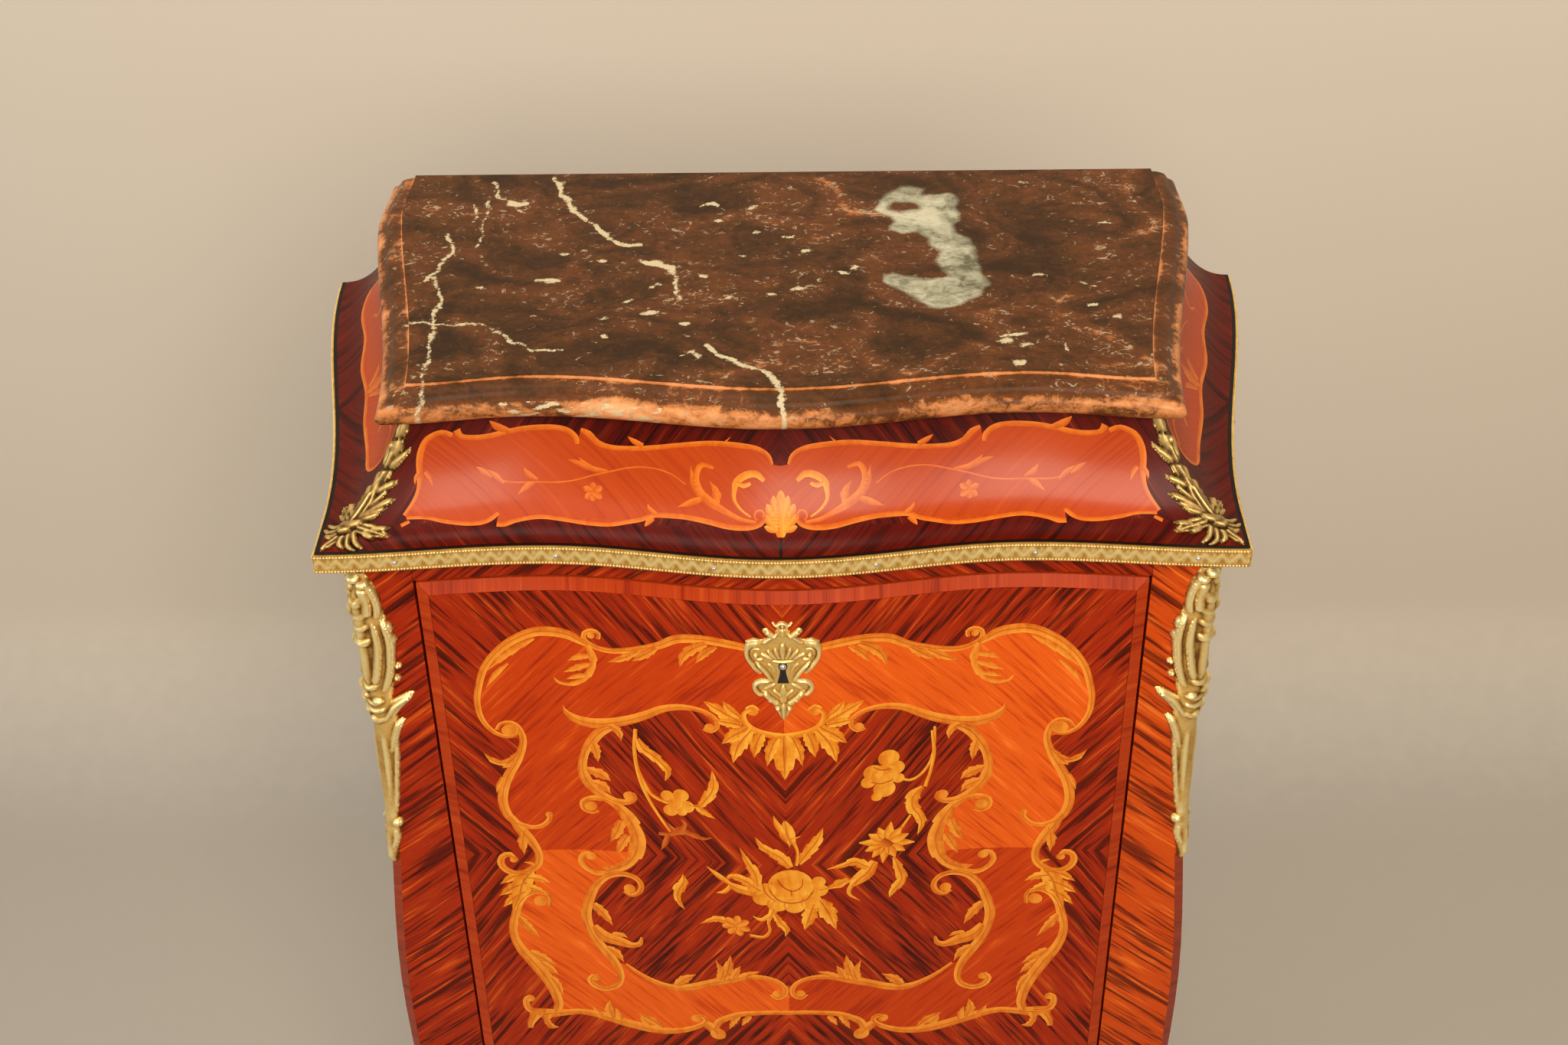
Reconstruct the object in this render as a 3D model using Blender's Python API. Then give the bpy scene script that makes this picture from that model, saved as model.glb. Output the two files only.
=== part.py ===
"""Serpentine lady's secretary desk with a fall front, built as separate pieces.

Units are metres, +Z is up, the front faces -Y and the desk stands on z = 0.
"""
import math

import bmesh
import bpy

# Overall size of the desk
WIDTH = 0.774
DEPTH = 0.400
HEIGHT = 1.360

# Heights of the storeys, from the marble down to the drawers
MARBLE_THICK = 0.026
FRIEZE_HEIGHT = 0.078
BAND_HEIGHT = 0.016
TOP_RAIL_HEIGHT = 0.0215
FALL_HEIGHT = 0.550
FALL_RAIL_HEIGHT = 0.030
DRAWER_OPENING = 0.135
BOARD_THICK = 0.012

# Clearances: between fixed pieces, round the fall, round the drawers, at the hinge line
SEAT = 0.0003
FALL_GAP = 0.002
DRAWER_GAP = 0.001
HINGE_GAP = 0.0022

# Serpentine front in plan: centre crest, two hollows, corners that come forward again
CREST = 0.0195
EAR = 0.0098
HOLLOW_X = 0.180
FRONT_STEPS = 32

# Sides in plan: straight behind the front corner, then flaring out to the back
FLARE = 0.045
FLARE_START = 0.045
SIDE_STEPS = 10

# Bombe sides in elevation: waist under the band, hip at the foot of the fall, knee at the legs
BAND_SIDE_OUT = 0.022
BAND_FRONT_OUT = 0.0134
HIP_OUT = 0.020
KNEE_IN = 0.017
WAIST_DROP = 0.140
HIP_DROP = 0.475
DRAWER_SWELL = 0.006
HEIGHT_STEPS = 24

# Sweeping frieze, gilt band and marble edge
FRIEZE_INSET = 0.066
FRIEZE_SWEEP = 0.43
FRIEZE_WALL = 0.084
FRIEZE_STEPS = 10
BAND_THICK = 0.004
BAND_PROUD = 0.001
MARBLE_INSET = 0.048
MARBLE_EDGE = 0.022
MARBLE_COVE = 0.0094
MARBLE_FILLET = 0.0025
MARBLE_BACK_IN = 0.006
MARBLE_BACK_TURN = 0.070
NOSE_STEPS = 5

# Front corner posts and legs
POST_WIDTH = 0.0435
POST_DEPTH = 0.055
CORNER_CHAMFER = 0.008
KNEE_SIZE = 0.052
ANKLE_SIZE = 0.026
TOE_SIZE = 0.034
KNEE_FORWARD = 0.006
ANKLE_BACK = 0.020
TOE_FORWARD = 0.006
KNEE_DROP = 0.052
ANKLE_HEIGHT = 0.085
HEEL_HEIGHT = 0.035
LEG_STEPS = 10
SHOE_HEIGHT = 0.034
SHOE_WALL = 0.002
SHOE_STEPS = 4

# Back posts, side panels and back panel
BACK_POST_DEPTH = 0.045
BACK_POST_WIDTH = 0.040
SIDE_THICK = 0.016
SIDE_ARCH = 0.018
BACK_THICK = 0.014
BOARD_PLAY = 0.0015

# Apron under the lower drawer
APRON_HEIGHT = 0.034
APRON_PENDANT = 0.026
APRON_THICK = 0.020
APRON_STEPS = 3

# Fall front: field, bevelled border, leather
FALL_THICK = 0.018
FIELD_PROUD = 0.005
BORDER_WIDTH = 0.009
LEATHER_THICK = 0.0008
LEATHER_MARGIN = 0.058
LEATHER_DROP = 0.090

# Hinges and quadrant stays of the fall
HINGE_X = 0.095
HINGE_LENGTH = 0.050
KNUCKLE_RADIUS = 0.0035
KNUCKLE_STEPS = 12
LEAF_THICK = 0.0016
LEAF_LENGTH = 0.034
STAY_RADIUS = 0.150
STAY_WIDTH = 0.012
STAY_THICK = 0.004
STAY_SWEEP_BELOW = 17.0
STAY_LUG = 0.006
STAY_FOOT = 0.012
STAY_FOOT_THICK = 0.004
STAY_STEPS = 12

# Lock of the fall
LOCK_WIDTH = 0.070
LOCK_HEIGHT = 0.052
LOCK_DEPTH = 0.0122
LOCK_TOP_DROP = 0.004
BOLT_WIDTH = 0.022
BOLT_DEPTH = 0.005
BOLT_HEIGHT = 0.040
BOLT_PLAY = 0.0006
STRIKE_WIDTH = 0.044
STRIKE_THICK = 0.001

# Inside of the desk; the stays slide in the room between the linings and the posts
STAY_ROOM = 0.0135
LINING_THICK = 0.010
TOP_BOARD_THICK = 0.017
FLOOR_THICK = 0.018
REBATE_GAP = 0.0008
RAIL_DEPTH = 0.038
UNIT_DEPTH = 0.156
SHELF_THICK = 0.009
DIVIDER_THICK = 0.008
DIVIDER_X = 0.085
SMALL_DRAWER_HEIGHT = 0.075
SMALL_WALL = 0.006
SMALL_FRONT = 0.011
KNOB_RADIUS = 0.0085
KNOB_LENGTH = 0.016
KNOB_SIDES = 12
KNOB_PROFILE = ((0.0, 0.55), (0.12, 0.50), (0.30, 0.38), (0.48, 0.42), (0.62, 0.85), (0.80, 1.0),
                (0.94, 0.70), (1.0, 0.25))

# Lower drawers
DRAWER_BOX_IN = 0.0195
DRAWER_BOX_HEIGHT = 0.108
DRAWER_WALL = 0.009
DRAWER_BACK_GAP = 0.010

# Gilt-bronze mounts; a profile pairs each share of the height with a share of the width
PLATE_HALF = 0.0295
PLATE_HEIGHT = 0.096
PLATE_DROP = 0.0248
PLATE_THICK = 0.0050
PLATE_RIM = 0.0020
SMALL_PLATE_HALF = 0.020
SMALL_PLATE_HEIGHT = 0.062
PLATE_PROFILE = ((0.0, 0.12), (0.10, 0.30), (0.22, 0.72), (0.36, 0.58), (0.52, 0.74), (0.76, 1.0),
                 (0.88, 0.66), (0.95, 0.34), (1.0, 0.20))
PLATE_STEPS = 20
CHUTE_LENGTH = 0.315
CHUTE_HALF = 0.020
CHUTE_RELIEF = 0.012
CHUTE_THIN = 0.0042
CHUTE_PROFILE = ((0.0, 0.12), (0.06, 0.22), (0.12, 0.36), (0.17, 0.22), (0.45, 0.36), (0.60, 0.55),
                 (0.64, 1.0), (0.72, 0.62), (0.88, 0.95), (1.0, 0.70))
CHUTE_STEPS = 22
SPRAY_REACH = 0.034
SPRAY_RELIEF = 0.010
SPRAY_THIN = 0.0030
SPRAY_SPAN = (0.20, 0.97)
SPRAY_LIFT = 0.0012
SPRAY_PROFILE = ((0.0, 0.55), (0.10, 1.0), (0.22, 0.95), (0.36, 0.42), (0.46, 0.50), (0.62, 0.26),
                 (0.74, 0.30), (1.0, 0.12))
SPRAY_STEPS = 14

# Places that follow from the sizes above
BACK_Y = DEPTH / 2
BAND_HALF = WIDTH / 2 - FLARE - BAND_PROUD
HOLLOW_Y = -DEPTH / 2 + BAND_PROUD + BAND_FRONT_OUT + CREST
CORNER_Y = HOLLOW_Y - EAR - BAND_FRONT_OUT
FLARE_START_Y = CORNER_Y + FLARE_START
WAIST_HALF = BAND_HALF - BAND_SIDE_OUT
HIP_HALF = WAIST_HALF + HIP_OUT
KNEE_HALF = HIP_HALF - KNEE_IN
OPEN_HALF = WAIST_HALF - POST_WIDTH
LINING_OUT = OPEN_HALF - STAY_ROOM
INSIDE_HALF = LINING_OUT - LINING_THICK
DRAWER_BOX_HALF = OPEN_HALF - DRAWER_BOX_IN

MARBLE_Z = HEIGHT - MARBLE_THICK
BAND_TOP_Z = MARBLE_Z - FRIEZE_HEIGHT
BAND_Z = BAND_TOP_Z - BAND_HEIGHT
TOP_RAIL_Z = BAND_Z - TOP_RAIL_HEIGHT
FALL_TOP_Z = TOP_RAIL_Z - FALL_GAP
FALL_Z = FALL_TOP_Z - FALL_HEIGHT
RAIL_TOP_Z = FALL_Z - HINGE_GAP
RAIL_Z = RAIL_TOP_Z - FALL_RAIL_HEIGHT
DIVIDER_TOP_Z = RAIL_Z - DRAWER_OPENING
DIVIDER_Z = DIVIDER_TOP_Z - BOARD_THICK
BOTTOM_TOP_Z = DIVIDER_Z - DRAWER_OPENING
BOTTOM_Z = BOTTOM_TOP_Z - BOARD_THICK
LEG_TOP_Z = BOTTOM_Z - APRON_HEIGHT
WAIST_Z = FALL_TOP_Z - WAIST_DROP
HIP_Z = FALL_TOP_Z - HIP_DROP

FALL_HALF = OPEN_HALF - FALL_GAP
FALL_INNER_Y = HOLLOW_Y + FALL_THICK
HINGE_Y = HOLLOW_Y - CREST
HINGE_Z = FALL_Z - HINGE_GAP / 2
FLOOR_TOP_Z = HINGE_Z + FALL_INNER_Y - HINGE_Y
FLOOR_Z = FLOOR_TOP_Z - FLOOR_THICK
REBATE_Y = FALL_INNER_Y + REBATE_GAP
RAIL_BACK_Y = REBATE_Y + RAIL_DEPTH
POST_BACK_Y = HOLLOW_Y - EAR + POST_DEPTH
BACK_POST_Y = BACK_Y - BACK_POST_DEPTH
BACK_PANEL_Y = BACK_Y - BACK_THICK
INSIDE_BACK_Y = BACK_PANEL_Y - SEAT
TOP_BOARD_Z = BAND_Z - SEAT - TOP_BOARD_THICK
UNIT_Y = INSIDE_BACK_Y - UNIT_DEPTH
SHELF_Z = FLOOR_TOP_Z + SMALL_DRAWER_HEIGHT + 2 * DRAWER_GAP


def ease(share):
    """Rise smoothly from 0 to 1 as share goes from 0 to 1."""
    share = min(1.0, max(0.0, share))
    return 0.5 - 0.5 * math.cos(math.pi * share)


def ease_through(stops, place):
    """Smooth curve through (place, value) stops, listed by rising place."""
    if place <= stops[0][0]:
        return stops[0][1]
    for (start, low), (end, high) in zip(stops, stops[1:]):
        if place <= end:
            return low + (high - low) * ease((place - start) / (end - start))
    return stops[-1][1]


def spread(start, end, steps):
    """Even places from start to end, both included."""
    return [start + (end - start) * i / steps for i in range(steps + 1)]


def serpentine(x, half):
    """How far the front comes forward of its two hollows at x."""
    if abs(x) <= HOLLOW_X:
        return CREST * (1 - ease(abs(x) / HOLLOW_X))
    return EAR * ease((abs(x) - HOLLOW_X) / (half - HOLLOW_X))


def body_half(z):
    """Half width of the body at its front corners, by height."""
    if z >= HIP_Z:
        return WAIST_HALF + HIP_OUT * ease((WAIST_Z - z) / (WAIST_Z - HIP_Z))
    return HIP_HALF - KNEE_IN * ease((HIP_Z - z) / (HIP_Z - LEG_TOP_Z))


def body_front(x, z):
    """Y of the body's front at x and z; the drawers swell a little."""
    swell = DRAWER_SWELL * ease(2 * min(z - LEG_TOP_Z, RAIL_Z - z) / (RAIL_Z - LEG_TOP_Z))
    return HOLLOW_Y - serpentine(x, HIP_HALF) - swell


def side_out(y):
    """How far the side flares out at y, beyond its half width at the front."""
    share = min(1.0, max(0.0, (y - FLARE_START_Y) / (BACK_Y - FLARE_START_Y)))
    return FLARE * share * share * (3 - 2 * share)


def top_front(inset):
    """Front outline of the frieze and marble, left to right, inset from the band's line."""
    half = BAND_HALF - inset
    run = spread(-half, half, FRONT_STEPS)
    return [(x, HOLLOW_Y - serpentine(x, half) - BAND_FRONT_OUT + inset) for x in run]


def top_side(inset):
    """Right side outline of the frieze and marble, front to back."""
    run = spread(CORNER_Y + inset, BACK_Y, SIDE_STEPS)
    return [(BAND_HALF + side_out(y) - inset, y) for y in run]


def finish(name, colour, roughness, metallic=0.0):
    """A plain surface finish."""
    material = bpy.data.materials.new(name)
    material.use_nodes = True
    shader = material.node_tree.nodes["Principled BSDF"]
    shader.inputs["Base Color"].default_value = (*colour, 1.0)
    shader.inputs["Roughness"].default_value = roughness
    shader.inputs["Metallic"].default_value = metallic
    return material


def add_piece(name, mesh, material, smooth_angle):
    """Put a finished mesh into the scene as a named piece."""
    mesh.materials.append(material)
    mesh.shade_smooth()
    mesh.set_sharp_from_angle(angle=math.radians(smooth_angle))
    piece = bpy.data.objects.new(name, mesh)
    bpy.context.collection.objects.link(piece)
    return piece


def skin(name, loops, material, smooth_angle=25):
    """Join equal loops of points one to the next and cap both ends."""
    shape = bmesh.new()
    rings = [[shape.verts.new(point) for point in loop] for loop in loops]
    count = len(rings[0])
    for low, high in zip(rings, rings[1:]):
        for i in range(count):
            j = (i + 1) % count
            shape.faces.new((low[i], low[j], high[j], high[i]))
    shape.faces.new(rings[0])
    shape.faces.new(rings[-1])
    bmesh.ops.recalc_face_normals(shape, faces=shape.faces)
    mesh = bpy.data.meshes.new(name)
    shape.to_mesh(mesh)
    shape.free()
    return add_piece(name, mesh, material, smooth_angle)


def flipped(loops, side):
    """Loops of a right-hand piece, mirrored to the left for side -1."""
    return [[(side * x, y, z) for x, y, z in loop] for loop in loops]


def stacked(levels):
    """Loops of a piece given as (z, plan outline) levels."""
    return [[(x, y, z) for x, y in outline] for z, outline in levels]


def box(name, low, high, material):
    """A square-edged board or block between two corners."""
    shape = bmesh.new()
    bmesh.ops.create_cube(shape, size=1.0)
    size = [b - a for a, b in zip(low, high)]
    middle = [(a + b) / 2 for a, b in zip(low, high)]
    bmesh.ops.scale(shape, vec=size, verts=shape.verts)
    bmesh.ops.translate(shape, vec=middle, verts=shape.verts)
    mesh = bpy.data.meshes.new(name)
    shape.to_mesh(mesh)
    shape.free()
    return add_piece(name, mesh, material, 25)


def tray(name, low, high, wall, front_wall, floor, material):
    """An open drawer box between two corners, its thicker wall at the front."""
    def rectangle(side_in, front_in, back_in, z):
        left, right = low[0] + side_in, high[0] - side_in
        front, back = low[1] + front_in, high[1] - back_in
        return [(left, front, z), (right, front, z), (right, back, z), (left, back, z)]

    loops = [rectangle(0, 0, 0, low[2]), rectangle(0, 0, 0, high[2]),
             rectangle(wall, front_wall, wall, high[2]),
             rectangle(wall, front_wall, wall, low[2] + floor)]
    return skin(name, loops, material)


def bowed_board(name, half, low_z, high_z, front, back_y, material, steps=4):
    """An upright front board whose face follows the serpentine."""
    levels = []
    for z in spread(low_z, high_z, steps):
        outline = [(x, front(x, z)) for x in spread(-half, half, FRONT_STEPS)]
        levels.append((z, outline + [(half, back_y), (-half, back_y)]))
    return skin(name, stacked(levels), material)


def clear_scene():
    for old in list(bpy.data.objects):
        bpy.data.objects.remove(old, do_unlink=True)


def marble_side(inset):
    """Right side outline of the marble, which turns in again at its back corner."""
    outline = []
    for x, y in top_side(inset):
        turn = ease((y - BACK_Y + MARBLE_BACK_TURN) / MARBLE_BACK_TURN)
        outline.append((x - MARBLE_BACK_IN * turn, y))
    return outline


def build_marble(stone):
    """Marble slab: flat top, thin fillet, hollow, round nosing, flat underside."""
    levels = []
    nose_top = HEIGHT - MARBLE_COVE
    nose_mid = (nose_top + MARBLE_Z) / 2
    nose_radius = (nose_top - MARBLE_Z) / 2
    for angle in spread(-90, 90, NOSE_STEPS):
        turn = math.radians(angle)
        inset = MARBLE_INSET + nose_radius * (1 - math.cos(turn))
        levels.append((nose_mid + nose_radius * math.sin(turn), inset))
    fillet_z = HEIGHT - MARBLE_FILLET
    inner = MARBLE_INSET + MARBLE_EDGE
    levels.append(((nose_top + fillet_z) / 2 - MARBLE_FILLET / 2, (levels[-1][1] + inner) / 2))
    levels.append((fillet_z, inner))
    levels.append((HEIGHT, inner))
    outlines = []
    for z, inset in levels:
        right = marble_side(inset)
        left = [(-x, y) for x, y in reversed(right)]
        outlines.append((z, top_front(inset)[1:-1] + right + left))
    skin("marble_top", stacked(outlines), stone)


def frieze_inset(share):
    """Inset of the frieze from its base line, by share of its height: it sweeps out at the foot."""
    return FRIEZE_INSET * share ** FRIEZE_SWEEP


def frieze_levels():
    """(z, inset) from the plinth behind the band up to the marble."""
    plinth = BAND_THICK - BAND_PROUD + SEAT
    levels = [(BAND_Z, plinth), (BAND_TOP_Z + SEAT, plinth), (BAND_TOP_Z + 2 * SEAT, 0.0)]
    for step in spread(0, 1, FRIEZE_STEPS)[1:]:
        share = step ** 2
        z = BAND_TOP_Z + 2 * SEAT + share * (FRIEZE_HEIGHT - 3 * SEAT)
        levels.append((z, frieze_inset(share)))
    return levels


def build_frieze(wood):
    """Three shaped mouldings, mitred at the front corners, hollow behind."""
    inner_y = CORNER_Y + FRIEZE_WALL
    inner_x = BAND_HALF - FRIEZE_WALL
    front_levels = []
    side_levels = []
    for z, inset in frieze_levels():
        front = [(x * (1 - SEAT / BAND_HALF), y) for x, y in top_front(inset)]
        front_levels.append((z, front + [(inner_x - SEAT, inner_y), (SEAT - inner_x, inner_y)]))
        side = [(x, y + SEAT) for x, y in top_side(inset)[:-1]] + [top_side(inset)[-1]]
        inner_back = BAND_HALF + FLARE - FRIEZE_WALL
        side_levels.append((z, side + [(inner_back, BACK_Y), (inner_x, inner_y + SEAT)]))
    skin("frieze_front", stacked(front_levels), wood)
    for side, word in ((1, "right"), (-1, "left")):
        skin(f"frieze_{word}", flipped(stacked(side_levels), side), wood)


def build_band(bronze):
    """Three flat strips let in round the frieze's plinth, mitred at the corners."""
    outer, inner = -BAND_PROUD, BAND_THICK - BAND_PROUD
    front = []
    for x, y in top_front(outer):
        front.append((x * (1 - SEAT / BAND_HALF), y))
    for x, y in reversed(top_front(inner)):
        front.append((x * (1 - SEAT / BAND_HALF), y))
    side = [(x, y + SEAT) for x, y in top_side(outer)[:-1]] + [top_side(outer)[-1]]
    side += [top_side(inner)[-1]] + [(x, y + SEAT) for x, y in reversed(top_side(inner)[:-1])]
    heights = (BAND_Z, BAND_TOP_Z)
    skin("band_front", stacked([(z, front) for z in heights]), bronze)
    for hand, word in ((1, "right"), (-1, "left")):
        skin(f"band_{word}", flipped(stacked([(z, side) for z in heights]), hand), bronze)


def leg_offset(z):
    """How far a leg's outer corner stands out from the body's lower corner."""
    return ease_through([(0.0, TOE_FORWARD), (ANKLE_HEIGHT, -ANKLE_BACK),
                         (LEG_TOP_Z - KNEE_DROP, KNEE_FORWARD), (LEG_TOP_Z, 0.0)], z)


def leg_size(z):
    """Thickness of a leg, by height."""
    return ease_through([(0.0, TOE_SIZE), (HEEL_HEIGHT, ANKLE_SIZE), (ANKLE_HEIGHT, ANKLE_SIZE),
                         (LEG_TOP_Z, KNEE_SIZE)], z)


def front_post_outline(z, grow=0.0):
    """Plan outline of the right front post and leg at a height."""
    if z >= LEG_TOP_Z:
        corner_x, inner_x, back_y = body_half(z), OPEN_HALF, POST_BACK_Y
        forward = 0.0
    else:
        forward = leg_offset(z)
        corner_x = KNEE_HALF + forward
        inner_x = corner_x - leg_size(z)
        back_y = body_front(HIP_HALF, LEG_TOP_Z) - forward + leg_size(z)
    face_x = corner_x - CORNER_CHAMFER

    def face_y(x):
        return body_front(max(x, OPEN_HALF), max(z, LEG_TOP_Z)) - forward - grow

    middle_x = (inner_x + face_x) / 2
    return [(inner_x - grow, face_y(inner_x)), (middle_x, face_y(middle_x)),
            (face_x, face_y(face_x)), (corner_x + grow, face_y(corner_x) + CORNER_CHAMFER),
            (corner_x + side_out(back_y) + grow, back_y + grow), (inner_x - grow, back_y + grow)]


def build_front_posts(wood, bronze):
    """Corner posts that run from the frieze to the gilt shoes as cabriole legs."""
    heights = spread(SHOE_HEIGHT + SEAT, LEG_TOP_Z - SEAT, LEG_STEPS)
    heights += spread(LEG_TOP_Z, BAND_Z - SEAT, HEIGHT_STEPS)
    levels = [(z, front_post_outline(z)) for z in heights]
    shoe = [(z, front_post_outline(z, SHOE_WALL)) for z in spread(0.0, SHOE_HEIGHT, SHOE_STEPS)]
    for side, word in ((1, "right"), (-1, "left")):
        skin(f"front_{word}_post", flipped(stacked(levels), side), wood)
        skin(f"{word}_shoe", flipped(stacked(shoe), side), bronze)


def back_post_outline(z):
    """Plan outline of the right back post and leg at a height."""
    if z >= LEG_TOP_Z:
        half, depth, width = body_half(z), BACK_POST_DEPTH, BACK_POST_WIDTH
    else:
        half, depth, width = KNEE_HALF + leg_offset(z), leg_size(z), leg_size(z)
        depth = min(depth, BACK_POST_DEPTH)
        width = min(width, BACK_POST_WIDTH)
    front_y = BACK_Y - depth
    inner = half + FLARE - width
    return [(inner, front_y), (half + side_out(front_y), front_y), (half + FLARE, BACK_Y),
            (inner, BACK_Y)]


def build_back_posts(wood):
    heights = spread(0.0, LEG_TOP_Z - SEAT, LEG_STEPS)
    heights += spread(LEG_TOP_Z, BAND_Z - SEAT, HEIGHT_STEPS)
    levels = [(z, back_post_outline(z)) for z in heights]
    for side, word in ((1, "right"), (-1, "left")):
        skin(f"back_{word}_post", flipped(stacked(levels), side), wood)


def build_sides(wood):
    """Bombe side panels between the posts, arched along the bottom."""
    start, end = POST_BACK_Y + SEAT, BACK_POST_Y - SEAT
    loops = []
    for y in spread(start, end, SIDE_STEPS):
        arch = SIDE_ARCH * math.sin(math.pi * (y - start) / (end - start))
        heights = spread(LEG_TOP_Z + arch, BAND_Z - SEAT, HEIGHT_STEPS)
        outer = [(body_half(z) + side_out(y), y, z) for z in heights]
        inner = [(x - SIDE_THICK, y, z) for x, y, z in reversed(outer)]
        loops.append(outer + inner)
    for side, word in ((1, "right"), (-1, "left")):
        skin(f"{word}_side_panel", flipped(loops, side), wood)


def build_back(wood):
    """Flat back between the back posts, running up behind the marble."""
    levels = []
    for z in spread(LEG_TOP_Z, BAND_Z - SEAT, HEIGHT_STEPS):
        levels.append((z, body_half(z) + FLARE - BACK_POST_WIDTH - SEAT))
    top_half = BAND_HALF + FLARE - FRIEZE_WALL - SEAT
    top_front_share = (BACK_PANEL_Y - CORNER_Y - FRIEZE_WALL) / (BACK_Y - CORNER_Y - FRIEZE_WALL)
    front_half = BAND_HALF - FRIEZE_WALL + FLARE * top_front_share - SEAT
    loops = []
    for z, half in levels:
        loops.append([(-half, BACK_PANEL_Y, z), (half, BACK_PANEL_Y, z), (half, BACK_Y, z),
                      (-half, BACK_Y, z)])
    for z in (BAND_Z, MARBLE_Z - SEAT):
        loops.append([(-front_half, BACK_PANEL_Y, z), (front_half, BACK_PANEL_Y, z),
                      (top_half, BACK_Y, z), (-top_half, BACK_Y, z)])
    skin("back_panel", loops, wood)


def dust_board(name, top, veneer):
    """A full board under a drawer: serpentine edge at the front, out to the side panels behind."""
    half = OPEN_HALF - SEAT
    levels = []
    for z in (top - BOARD_THICK, top):
        outline = [(x, body_front(x, z)) for x in spread(-half, half, FRONT_STEPS)]
        right = [(half, POST_BACK_Y + SEAT)]
        for y in spread(POST_BACK_Y + SEAT, BACK_POST_Y - SEAT, SIDE_STEPS):
            right.append((body_half(z) + side_out(y) - SIDE_THICK - BOARD_PLAY, y))
        post_x = body_half(z) + FLARE - BACK_POST_WIDTH - BOARD_PLAY
        right += [(post_x, BACK_POST_Y - SEAT), (post_x, INSIDE_BACK_Y)]
        left = [(-x, y) for x, y in reversed(right)]
        levels.append((z, outline + right + left))
    skin(name, stacked(levels), veneer)


def build_rails_and_boards(veneer, wood):
    """Rails between the front posts and the boards behind them."""
    half = OPEN_HALF - SEAT
    bowed_board("top_rail", half, TOP_RAIL_Z, BAND_Z - SEAT, body_front, REBATE_Y, veneer, 1)
    loops = []
    for x in spread(-half, half, FRONT_STEPS):
        front = body_front(x, RAIL_TOP_Z)
        loops.append([(x, body_front(x, RAIL_Z), RAIL_Z), (x, front, RAIL_TOP_Z),
                      (x, REBATE_Y, RAIL_TOP_Z), (x, REBATE_Y, FLOOR_Z - SEAT),
                      (x, RAIL_BACK_Y, FLOOR_Z - SEAT), (x, RAIL_BACK_Y, RAIL_Z)])
    skin("fall_rail", loops, veneer)
    dust_board("drawer_divider", DIVIDER_TOP_Z, veneer)
    dust_board("bottom_board", BOTTOM_TOP_Z, veneer)
    loops = []
    top = BOTTOM_Z - SEAT
    for x in spread(-half, half, FRONT_STEPS):
        low = LEG_TOP_Z - APRON_PENDANT * (1 - ease(abs(x) / HOLLOW_X))
        loops.append([(x, body_front(x, z), z) for z in spread(low, top, APRON_STEPS)])
        loops[-1] += [(x, HOLLOW_Y + APRON_THICK, top), (x, HOLLOW_Y + APRON_THICK, low)]
    skin("apron", loops, veneer)
    lock_room = FALL_INNER_Y + SEAT + LOCK_DEPTH
    box("top_board", (-half, lock_room, TOP_BOARD_Z),
        (half, INSIDE_BACK_Y, TOP_BOARD_Z + TOP_BOARD_THICK), wood)
    box("desk_floor", (-LINING_OUT, REBATE_Y, FLOOR_Z), (LINING_OUT, INSIDE_BACK_Y, FLOOR_TOP_Z), wood)


def build_inside(wood, bronze):
    """Linings, shelf, dividers and three small drawers behind the fall."""
    base, top = FLOOR_TOP_Z + SEAT, TOP_BOARD_Z - SEAT
    box("left_lining", (-LINING_OUT, REBATE_Y, base), (-INSIDE_HALF, INSIDE_BACK_Y, top), wood)
    box("right_lining", (INSIDE_HALF, REBATE_Y, base), (LINING_OUT, INSIDE_BACK_Y, top), wood)
    shelf_half = INSIDE_HALF - SEAT
    box("pigeonhole_shelf", (-shelf_half, UNIT_Y, SHELF_Z),
        (shelf_half, INSIDE_BACK_Y, SHELF_Z + SHELF_THICK), wood)
    reach = DIVIDER_THICK / 2
    for side, word in ((1, "right"), (-1, "left")):
        low = (side * DIVIDER_X - reach, UNIT_Y, base)
        high = (side * DIVIDER_X + reach, INSIDE_BACK_Y, SHELF_Z - SEAT)
        box(f"{word}_divider", low, high, wood)
    bays = {"left": (-INSIDE_HALF, -DIVIDER_X - reach),
            "middle": (reach - DIVIDER_X, DIVIDER_X - reach),
            "right": (DIVIDER_X + reach, INSIDE_HALF)}
    for word, (left, right) in bays.items():
        low = (left + DRAWER_GAP, UNIT_Y, base)
        high = (right - DRAWER_GAP, INSIDE_BACK_Y - DRAWER_GAP, base + SMALL_DRAWER_HEIGHT)
        tray(f"small_drawer_{word}", low, high, SMALL_WALL, SMALL_FRONT, SMALL_WALL, wood)
        build_knob(f"small_knob_{word}", (left + right) / 2, base + SMALL_DRAWER_HEIGHT / 2, bronze)


def build_knob(name, x, z, bronze):
    """A turned knob on a small drawer front."""
    loops = []
    for along, share in KNOB_PROFILE:
        y = UNIT_Y - SEAT - KNOB_LENGTH * along
        radius = KNOB_RADIUS * share
        turns = [math.tau * i / KNOB_SIDES for i in range(KNOB_SIDES)]
        loops.append([(x + radius * math.cos(t), y, z + radius * math.sin(t)) for t in turns])
    skin(name, loops, bronze, 60)


def field_front(x, z):
    """Y of the fall's raised field."""
    return body_front(x, z) - FIELD_PROUD


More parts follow.
